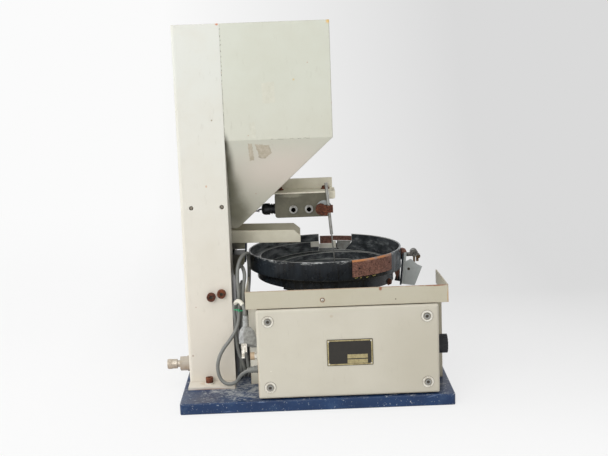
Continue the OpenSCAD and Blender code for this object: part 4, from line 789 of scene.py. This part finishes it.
# Inside, sliding parts have rubbed the coating to a cloudy brushed grey.
rubbed_coating, add, place = new_material("coating rubbed grey by parts")
from_axis = add("VectorMath", place, bowl_axis * MM, operation="SUBTRACT")
flat_x, flat_y = (add("SeparateXYZ", from_axis, output=side) for side in "XY")
around = add("Math", flat_y, flat_x, operation="ARCTAN2")
outwards = add("VectorMath", add("VectorMath", from_axis, (1, 1, 0), operation="MULTIPLY"),
               output="Value", operation="LENGTH")
height = add("SeparateXYZ", place, output="Z")
swept = add("CombineXYZ", outwards, height, add("Math", around, 0.012, operation="MULTIPLY"))
brushed = add("TexNoise", swept, Scale=1 / (2.5 * MM), Detail=5, Roughness=0.65)
cloud = add("TexNoise", place, Scale=1 / (20 * MM), Detail=6, Roughness=0.7)
smeared = add("CombineXYZ", outwards, height, add("Math", around, 0.045, operation="MULTIPLY"))
smears = add("TexNoise", smeared, Scale=1 / (9 * MM), Detail=6, Roughness=0.72)
colour = add("MixRGB", add("MapRange", brushed, 0.3, 0.7), "#111417", "#363A3E")
colour = add("MixRGB", add("MapRange", cloud, 0.42, 0.66, 0, 0.6), colour, "#595E61")
colour = add("MixRGB", add("MapRange", smears, 0.5, 0.66, 0, 0.75), colour, "#8E9293")
# the grey lies thickest on the left
thickest = add("Math", add("MapRange", flat_x, 10 * MM, -70 * MM, 0, 0.7),
               add("MapRange", smears, 0.38, 0.58), operation="MULTIPLY")
colour = add("MixRGB", thickest, colour, "#85898A")
_, edge = worn_edge(add, 2, 8, 0.99, 0.93)
worn = add("Math", edge, add("MapRange", cloud, 0.35, 0.6, 0.55, 1), operation="MULTIPLY")
colour = add("MixRGB", worn, colour, "#DADBD4")
surface(add, colour, (cloud, 0.28, 0.46), 0.06, brushed, Metallic=0.2, Specular_IOR_Level=0.35)


def faces_in(middle, normal):
    """True for a face that looks towards the bowl's axis or up from inside it."""
    out = (middle - bowl_axis) * level
    return out.normalized().dot(normal) < -0.3 or (normal.z > 0.6 and middle.z < rim_z - 3)


dress_part("bowl", rubbed_coating, faces_in)
dress_part("spiral_track", rubbed_coating,
           lambda middle, normal: normal.z > 0.5 or faces_in(middle, normal))
dress(dull_steel, "bowl_bolt")

# one rusted screw holds the skirt to the drive's crown, low on the right
screw_way = Vector((110, -54, 0)).normalized()
outside = bowl_axis + Vector((0, 0, 176.5)) + screw_way * 200
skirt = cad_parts["bowl"].ray_cast(outside * MM, -screw_way)[1] / MM
turned_piece("skirt_screw", [skirt + screw_way * out for out in (-0.5, 0.6, 0.6, 4.2, 4.8)],
             (6.5, 6.5, 4.6, 4.6, 3.9), rusted_steel, "bowl_unit", 12)

# A patch of rusted sheet with two small holes is glued over a worn place in the
# wall: pinkish brown, brighter orange along its cut top.
rusted_sheet, add, place = new_material("mottled rusted sheet")
crust = add("TexNoise", place, Scale=1 / (2.4 * MM), Detail=4, Roughness=0.8)
patches = add("TexNoise", place, Scale=1 / (18 * MM), Detail=5, Roughness=0.6)
colour = add("MixRGB", add("MapRange", crust, 0.38, 0.62), "#3F2A24", "#96695A")
colour = add("MixRGB", add("MapRange", patches, 0.5, 0.65, 0, 0.5), colour, "#A87C6C")
colour = add("MixRGB", add("MapRange", patches, 0.4, 0.3, 0, 0.5), colour, "#33241F")
top_edge = add("MapRange", add("SeparateXYZ", place, output="Z"), (rim_z - 3.2) * MM, (rim_z - 1.8) * MM)
rubbed_off = add("MapRange", patches, 0.5, 0.62)
top_colour = add("MixRGB", rubbed_off, "#D9935F", "#A8948A")
colour = add("MixRGB", add("Math", top_edge, 0.9, operation="MULTIPLY"), colour, top_colour)
surface(add, colour, 0.7, 0.25, crust, add("Bevel", 0.4 * MM, samples=4), Metallic=0.15)
dress(rusted_sheet, "patch_plate", "notch_bar", "outlet_block")

# hard yellow glue, squeezed out in beads below the patch
yellow_glue = mottled("dried yellow glue", "#80743A", "#B5A765", 3, 3, 0.3, rough=0.35, IOR=1.5)
glue_beads = ((-21, 2.4, 202), (-24.5, 1.2, 201.4), (-30, 2, 201), (-36, 3, 201.6))
for i, (angle, width_deg, z) in enumerate(glue_beads):
    bead = [bowl_wall(angle + width_deg * (k / 4 - 0.5), z + 0.4 * math.sin(k * 1.7), 0.1)
            for k in range(5)]
    smooth_line(f"patch_glue_{i}", bead, 0.6 + 0.15 * (i % 2), yellow_glue, "bowl_unit",
                4, 2)


# ------------------------------------------------------- tooling at the notch
# The track ends at a notch in the bowl's back wall, where a rusted bar, two pale
# guide strips and a bright wedge turn the parts. They were bent and fitted by hand.
# thick enamel, the palest on the feeder, with brown rust on its bent edges
guide_enamel = sprayed_enamel("worn enamel of the guide strips", "#F2EFE2", "#F2EFE2", "#CFC9B4", 0.1, 12)
dress(guide_enamel, "notch_guide")

# a strip of the bowl's own black sheet closes the notch behind the wedge
notch_low, notch_high = box_mm("notch_wedge")
strip_left, strip_right = notch_low.x - 6, notch_high.x + 10
steps = 8
shape = bmesh.new()
strip = []
for k in range(steps + 1):
    x = strip_left + (strip_right - strip_left) * k / steps
    for out in (3.4, 4.2):
        y = bowl_mid.y + math.sqrt((bowl_r + out) ** 2 - (x - bowl_mid.x) ** 2)
        strip.append([shape.verts.new(Vector((x, y, z)) * MM)
                      for z in (notch_low.z - 3, notch_high.z - 5.8)])
for k in range(0, 2 * steps, 2):
    near, far, near_next, far_next = strip[k:k + 4]
    for side, side_next in ((near, near_next), (far, far_next)):
        shape.faces.new((side[0], side[1], side_next[1], side_next[0]))
    for end in (0, 1):
        shape.faces.new((near[end], far[end], far_next[end], near_next[end]))
for near, far in (strip[:2], strip[-2:]):
    shape.faces.new((near[0], near[1], far[1], far[0]))
fitted("notch_backing", shape, black_coating, "bowl_unit")
dress(dull_steel, "notch_wedge")


# ------------------------------------------------ tooling at the bowl's outlet
# A rusted lug welded to the wall carries a black post, a bent plate and a small
# cast air nozzle with a bronze tip, which blows badly turned parts back inside.
dress(blued_steel, "outlet_post")

# zinc plate over pressed sheet: pale grey, with a dull cloudy shine
zinc_sheet = mottled(
    "zinc-plated sheet", "#B9BDBC", "#9EA3A3", 9, 5, 0.04, tone=0.65, rough=(0.38, 0.55), edge_mm=0.5,
    Metallic=0.3)
dress(zinc_sheet, "outlet_plate")
# behind its bend the plate is dark
bend_y = 15.2
dress_part("outlet_plate", blued_steel, lambda middle, normal: middle.y > bend_y)
# a black screw fills the plate's hole
plate_high = box_mm("outlet_plate")[1]
hole_x, hole_z = plate_high.x - 24.5, plate_high.z - 30.7
turned_piece("outlet_plate_screw", [Vector((hole_x, y, hole_z)) for y in (8.2, 6.6, 6.2, 6.2, 6.6)],
             (2.55, 2.55, 2.2, 1.1, 0.9), socket_dirt_and_shade, "bowl_unit")

# cast zinc soaked in oil: dark in its pits, grey on its high spots, with red stains
oily_casting, add, place = new_material("oily zinc casting")
grains = add("TexNoise", place, Scale=1 / (3 * MM), Detail=5, Roughness=0.75)
stains = add("TexNoise", place, Scale=1 / (5 * MM), Detail=4, Roughness=0.7, Distortion=0.6)
colour = add("MixRGB", add("MapRange", grains, 0.38, 0.66), "#242422", "#8E8E89")
colour = add("MixRGB", add("MapRange", stains, 0.6, 0.68, 0, 0.85), colour, "#A8654A")
surface(add, colour, 0.4, 0.3, grains, add("Bevel", 1 * MM, samples=4), Metallic=0.4)

# turned bronze, brown with age, with a small warm shine along its edges
bronze = mottled(
    "turned bronze and brass", "#4A3A2A", "#86735A", 5, 4, 0.05, spread=(0.35, 0.65), rough=0.42,
    edge_mm=0.3, Metallic=0.85)
tip_top = box_mm("outlet_nozzle")[0].z + 12
dress(oily_casting, "outlet_nozzle")
dress_part("outlet_nozzle", bronze, lambda middle, normal: middle.z < tip_top)


# -------------------------------------------------------------- level switch
# A cast housing with a screwed cover hangs from a bracket on the hopper. Its
# shaft turns in a pale grey bush and clamps a bent spring wire over the bowl.
housing_low, housing_high = box_mm("switch_housing")
cover_face = box_mm("switch_cover")[0].y
# hammered enamel on the castings: drab olive, paler along its top at the left and darker at its lower
# right
switch_enamel = sprayed_enamel(
    "olive hammered enamel of the switch", "#5A5746", "#555242", "#7E7A66", 0.0, 16, marks=[
        ((housing_high.x - 6, cover_face, housing_low.z + 8), (14, 10, 12), "#4A4434", 0.7, 0.8),
        ((housing_low.x + 30, cover_face, housing_high.z - 3), (26, 10, 5), "#A39F8A", 0.5, 0.8),
    ])
dress(switch_enamel, "switch_housing", "switch_cover")

# enamel brushed on the bracket: a brighter cream, with rust along its edges
bracket_enamel = sprayed_enamel(
    "cream enamel of the bracket", "#E6E1CE", "#E6E1CE", "#BAB39A", 0.12, 26, marks=[
        ((housing_high.x + 8, cover_face + 20, housing_high.z + 4), (4, 30, 5), "#8A7A52", 0.6, 0.8),
        ((housing_low.x - 4, cover_face + 20, housing_high.z + 14), (12, 40, 6), "#9A7350", 0.6, 0.8),
    ])
dress(bracket_enamel, "switch_bracket")
dress(rusted_steel, "bracket_bolts", "wand_clamp", "wand_shaft")
dress(dull_steel, "switch_bolts", "wand_rod")
dress(zinc_sheet, "shaft_bush")

# painted shade: a dark line in the bolts' pressed rims and a dark spot on their centres
bolt_low, bolt_high = box_mm("switch_bolts")
bolt_z, head_r = (bolt_low.z + bolt_high.z) / 2, 7.4
rim = ((0.3, -0.15, -0.15, 0.3), (4.5, 4.3, 4.0, 3.8))
centre = ((0.3, -0.12, -0.12), (1.5, 1.2, 0.3))
shape = bmesh.new()
for x in (bolt_low.x + head_r, bolt_high.x - head_r):
    for line, radii in (rim, centre):
        turn(shape, [Vector((x, bolt_low.y + out, bolt_z)) for out in line], radii)
fitted("switch_bolt_centres", shape, socket_dirt_and_shade, "frame")

# glossy moulded nylon, near black, with fine marks of the mould
black_nylon = mottled(
    "moulded black nylon", "#131418", "#26282C", 8, 3, 0.05, rough=0.34, edge_mm=0.4, IOR=1.53,
    Specular_IOR_Level=0.35)
dress(black_nylon, "cable_gland", "sensor_cable")


# -------------------------------------------------------------------- guard
# Folded from 1.5 mm sheet to catch parts thrown from the bowl, screwed to the
# base plate behind the controller. It is rusted brown all along its cut edges.
guard_low, guard_high = box_mm("guard")
lip_screw = Vector((13.5, guard_low.y, guard_high.z - 18))
guard_mid = (guard_low.x + guard_high.x) / 2
# the cabinet's cream, grubbier, brown on its folds and round its screws, with painted
# light on the panel under the lip
guard_enamel = sprayed_enamel(
    "cream enamel of the guard", "#BAB5A1", "#BAB4A1", "#AEA68C", 0.2, rust_and_highlight_colour="#8A5A34",
    fold_mm=1.2, marks=[
        # painted light: the panel under the lip is lightened against the lip's shadow
        ((guard_low.x + 8, guard_high.y - 60, 96), (26, 80, 96), "#F0EDE2", 1.0, 0.1),
        (lip_screw, (5.5, 3, 5.5), "#A8764E", 0.7, 0.8),
        ((108.7, guard_low.y, guard_high.z - 2.6), (3.6, 3, 4.5), "#8A4A2A", 0.9, 0.7),
        ((133.3, guard_low.y, guard_high.z - 21), (1.6, 3, 1.6), "#4A3A2C", 1.0, 0.3),
        ((guard_mid, guard_low.y, guard_high.z), (240, 3, 1.1), "#A57444", 0.45, 1.6),
        ((guard_high.x - 20, guard_low.y, guard_high.z), (30, 3, 2.6), "#8A4A26", 0.8, 1.0),
        ((guard_high.x, guard_low.y, guard_high.z - 20), (2.4, 3, 26), "#B5803F", 0.7, 0.8),
    ])
dress(guard_enamel, "guard")


def circle(middle, radius, steps):
    """A closed line of points round a middle, flat to the front."""
    return [middle + radius * Vector((math.cos(math.tau * k / steps), 0, math.sin(math.tau * k / steps)))
            for k in range(steps + 1)]


# a small screw with an ivory head, through its lip, has wept a ring of rust
turned_piece("lip_screw", [lip_screw + Vector((0, out, 0)) for out in (0.1, -0.6, -1.3, -1.8, -1.8, -1.3)],
             (2.6, 2.6, 2.2, 1.5, 0.8, 0.6), ivory_nylon, "frame")
turned_piece("lip_screw_rust", circle(lip_screw + Vector((0, -0.2, 0)), 3, 24),
             [0.55 + 0.2 * (k % 5 == 0) for k in range(25)], rusted_steel, "frame",
             6, Vector((0, 1, 0)))


# --------------------------------------------------- controller box and cover
# A folded box and a lift-off cover whose edges are rolled over, held by four
# socket screws on ivory rings. Both are sprayed in the cabinet maker's cream.
box_low = box_mm("control_box")[0]
cover_low, cover_high = box_mm("control_cover")
ring_low, ring_high = box_mm("cover_rings")
screw_low = box_mm("cover_screws")[0]
screw_r = 4.6
ring_r = screw_low.x + screw_r - ring_low.x
# satin cream enamel with a painted highlight along its folds, brown grime at the
# cover's foot, and painted shade over the cover's right
cabinet_enamel = sprayed_enamel(
    "cream enamel of the cabinet", "#CAC5B8", "#C7C2B3", "#BAB4A3", 0.4, rust_and_highlight_colour="#EFECE1",
    fold_mm=2.2, marks=[
        ((cover_low.x + 124, cover_low.y, cover_high.z - 14), (4, 3, 3), "#B5A78F", 0.6, 0.8),
        ((cover_low.x, cover_low.y + 6, cover_low.z + 30), (3, 20, 60), "#A58C6C", 0.5, 0.8),
        ((cover_low.x + 60, cover_low.y, cover_low.z), (90, 3, 2.5), "#8F6F4E", 0.6, 0.8),
        ((cover_high.x - 60, cover_low.y, cover_low.z), (80, 3, 2), "#8F6F4E", 0.6, 0.8),
        ((box_low.x, box_low.y + 20, box_low.z + 50), (4, 50, 70), "#B0A68F", 0.6, 0.6),
        # painted shade: the cover darkens towards its right
        ((cover_high.x - 20, cover_low.y, cover_low.z + 60), (120, 12, 130), "#B9B3A2", 0.75, 0.1),
    ])
dress(cabinet_enamel, "control_cover", "control_box")
dress(ivory_nylon, "cover_rings")
dress(dull_steel, "cover_screws")
# the sides of the screws' heads and their sockets are dark: packed dirt, and painted shade in the recess
dress_part("cover_screws", socket_dirt_and_shade, lambda middle, normal: middle.y < screw_low.y + 4 and
           (abs(normal.y) < 0.3 or middle.y > screw_low.y + 0.5))

# painted shadow: a flat grey-brown line round each ring and round each screw's head
ring_shadow_grey = mottled("painted grey shadow line", "#5C5448", "#9A9184", 2, 4, 0.2, rough=0.95)
shape = bmesh.new()
for x in (ring_low.x + ring_r, ring_high.x - ring_r):
    for z in (ring_low.z + ring_r, ring_high.z - ring_r):
        for around, thick in ((ring_r + 0.1, 0.4), (ring_r - 3.5, 0.35)):
            face = cover_low.y - (0.3 if around > ring_r else 1.1)
            turn(shape, circle(Vector((x, face, z)), around, 32), [thick] * 33, 6, Vector((0, 1, 0)))
fitted("ring_shadow_line", shape, ring_shadow_grey, "frame")

# Nameplate of brass sheet printed black, with its border and two fields left
# bare and no words on it, riveted at its corners.
black_print = mottled(
    "black printed brass sheet", "#14110D", "#2A251C", 9, 4, 0.03, rough=0.38, IOR=1.5)
dress(black_print, "nameplate")

# brass left bare: a pale straw yellow, dulled in clouds
bare_brass = mottled(
    "dulled brass sheet", "#8C7F58", "#B9AC80", 6, 5, 0.03, tone=0.7, spread=(0.35, 0.65),
    rough=(0.35, 0.55), Metallic=0.3)


def flat_frame(shape, low, high, width, face, rise=0.15):
    """Adds a flat rectangle to a mesh, in mm, on a front face: a frame of a width, or solid
    if that is 0."""
    rings = []
    for inset in ([0, 0, width, width] if width else [0, 0]):
        out = rise if len(rings) in (1, 2) else 0
        rings.append([shape.verts.new(Vector((x, face - out, z)) * MM) for x, z in (
            (low[0] + inset, low[1] + inset), (high[0] - inset, low[1] + inset),
            (high[0] - inset, high[1] - inset), (low[0] + inset, high[1] - inset))])
    for near, far in zip(rings, rings[1:]):
        for k in range(4):
            shape.faces.new((near[k - 1], near[k], far[k], far[k - 1]))
    if not width:
        shape.faces.new(rings[-1])


name_low, name_high = box_mm("nameplate")
plate_face = name_low.y + 0.7
plate_w, plate_h = name_high.x - name_low.x, name_high.z - name_low.z
margin, border = 0.9, 2.1
shape = bmesh.new()
flat_frame(shape, (name_low.x + margin, name_low.z + margin),
           (name_high.x - margin, name_high.z - margin), border, plate_face)
field_x0, field_x1 = name_low.x + plate_w * 0.44, name_high.x - plate_w * 0.12
for z0, z1 in ((0.27, 0.42), (0.08, 0.23)):
    flat_frame(shape, (field_x0, name_low.z + plate_h * z0), (field_x1, name_low.z + plate_h * z1),
               0, plate_face)
fitted("nameplate_border", shape, bare_brass, "frame")
# its rivets' heads stand in front of the sheet, as ivory as the rings
dress_part("nameplate", ivory_nylon, lambda middle, normal: middle.y < name_low.y + 0.5)


# -------------------------------------------------- speed knob and its control
# A fluted black moulded knob on a quarter-inch shaft, with a filled pointer line,
# on a wire-wound control screwed through the box's right side.
knob_low, knob_high = box_mm("speed_knob")
dress(black_nylon, "speed_knob")
dress(dull_steel, "speed_pot")

# paint rubbed into the pointer's groove: a flat off-white line
white_fill = mottled("white paint in an engraved line", "#D8D6CC", "#F0EFE8", 2, 3, 0.1, rough=0.6)
knob_mid = (knob_low + knob_high) / 2
pointer = [Vector((knob_high.x - 0.3, knob_mid.y, knob_mid.z + up)) for up in (4, 5, 13.5, 14.2)]
turned_piece("knob_pointer", pointer, (0.1, 0.45, 0.45, 0.1), white_fill, "speed_control",
             12, Vector((1, 0, 0)))


# -------------------------------------------------------------- fuse holder
# A bayonet fuse holder through the box's left side: a nickel nut on a phenolic
# body, and a pale brown cap.
dress(plated_brass, "fuse_holder")

# phenolic moulding: pale brown and swirled, with a resin's soft shine
brown_phenolic = mottled(
    "pale brown moulded phenolic", "#A68460", "#CDBBA0", 4, 5, 0.04, swirl=1.5, rough=0.35, edge_mm=0.4,
    IOR=1.6)
cap_end = box_mm("fuse_holder")[0].x + 8
dress_part("fuse_holder", brown_phenolic, lambda middle, normal: middle.x < cap_end)


# ------------------------------------------------------------ circuit board
# Glass laminate under green lacquer on four pillars inside the box, with its
# power parts standing on it.
green_laminate = mottled(
    "green lacquered glass laminate", "#24592F", "#35733F", 12, 3, 0.05, rough=0.4, skin=(1.5, 2), IOR=1.5)
dress(green_laminate, "circuit_board")


# -------------------------------------------------------------- air fitting
# A bulkhead fitting of brass under worn nickel plate, held through the column by
# two hexagon nuts, with a knurled sleeve that grips the air tube.

# nickel worn thin: a warm grey white, and browner underneath, where oil gathers
worn_nickel, add, place = new_material("worn nickel on brass")
stain = add("TexNoise", place, Scale=1 / (9 * MM), Detail=4)
colour = add("MixRGB", stain, "#CFC9BE", "#A99A86")
lowered = add("MapRange", add("SeparateXYZ", place, output="Z"), 45 * MM, 32 * MM)
colour = add("MixRGB", add("Math", lowered, 0.6, operation="MULTIPLY"), colour, "#8A6B52")
surface(add, colour, (stain, 0.32, 0.5), 0.05, stain, add("Bevel", 0.5 * MM, samples=6), Metallic=0.55)
dress(worn_nickel, "air_fitting")

# the sleeve's knurl: straight ribs pressed round it, a millimetre and a half apart
fit_low, fit_high = box_mm("air_fitting")
fit_mid = (fit_low + fit_high) / 2
ribs, sleeve_r = 36, 8.45
shape = bmesh.new()
for k in range(ribs):
    angle = math.tau * k / ribs
    rib = Vector((0, math.cos(angle), math.sin(angle))) * sleeve_r
    turn(shape, [Vector((fit_low.x + along, fit_mid.y, fit_mid.z)) + rib for along in (1.2, 1.8, 8)],
         (0.15, 0.5, 0.5), 6)
fitted("air_sleeve_knurl", shape, worn_nickel, "frame")
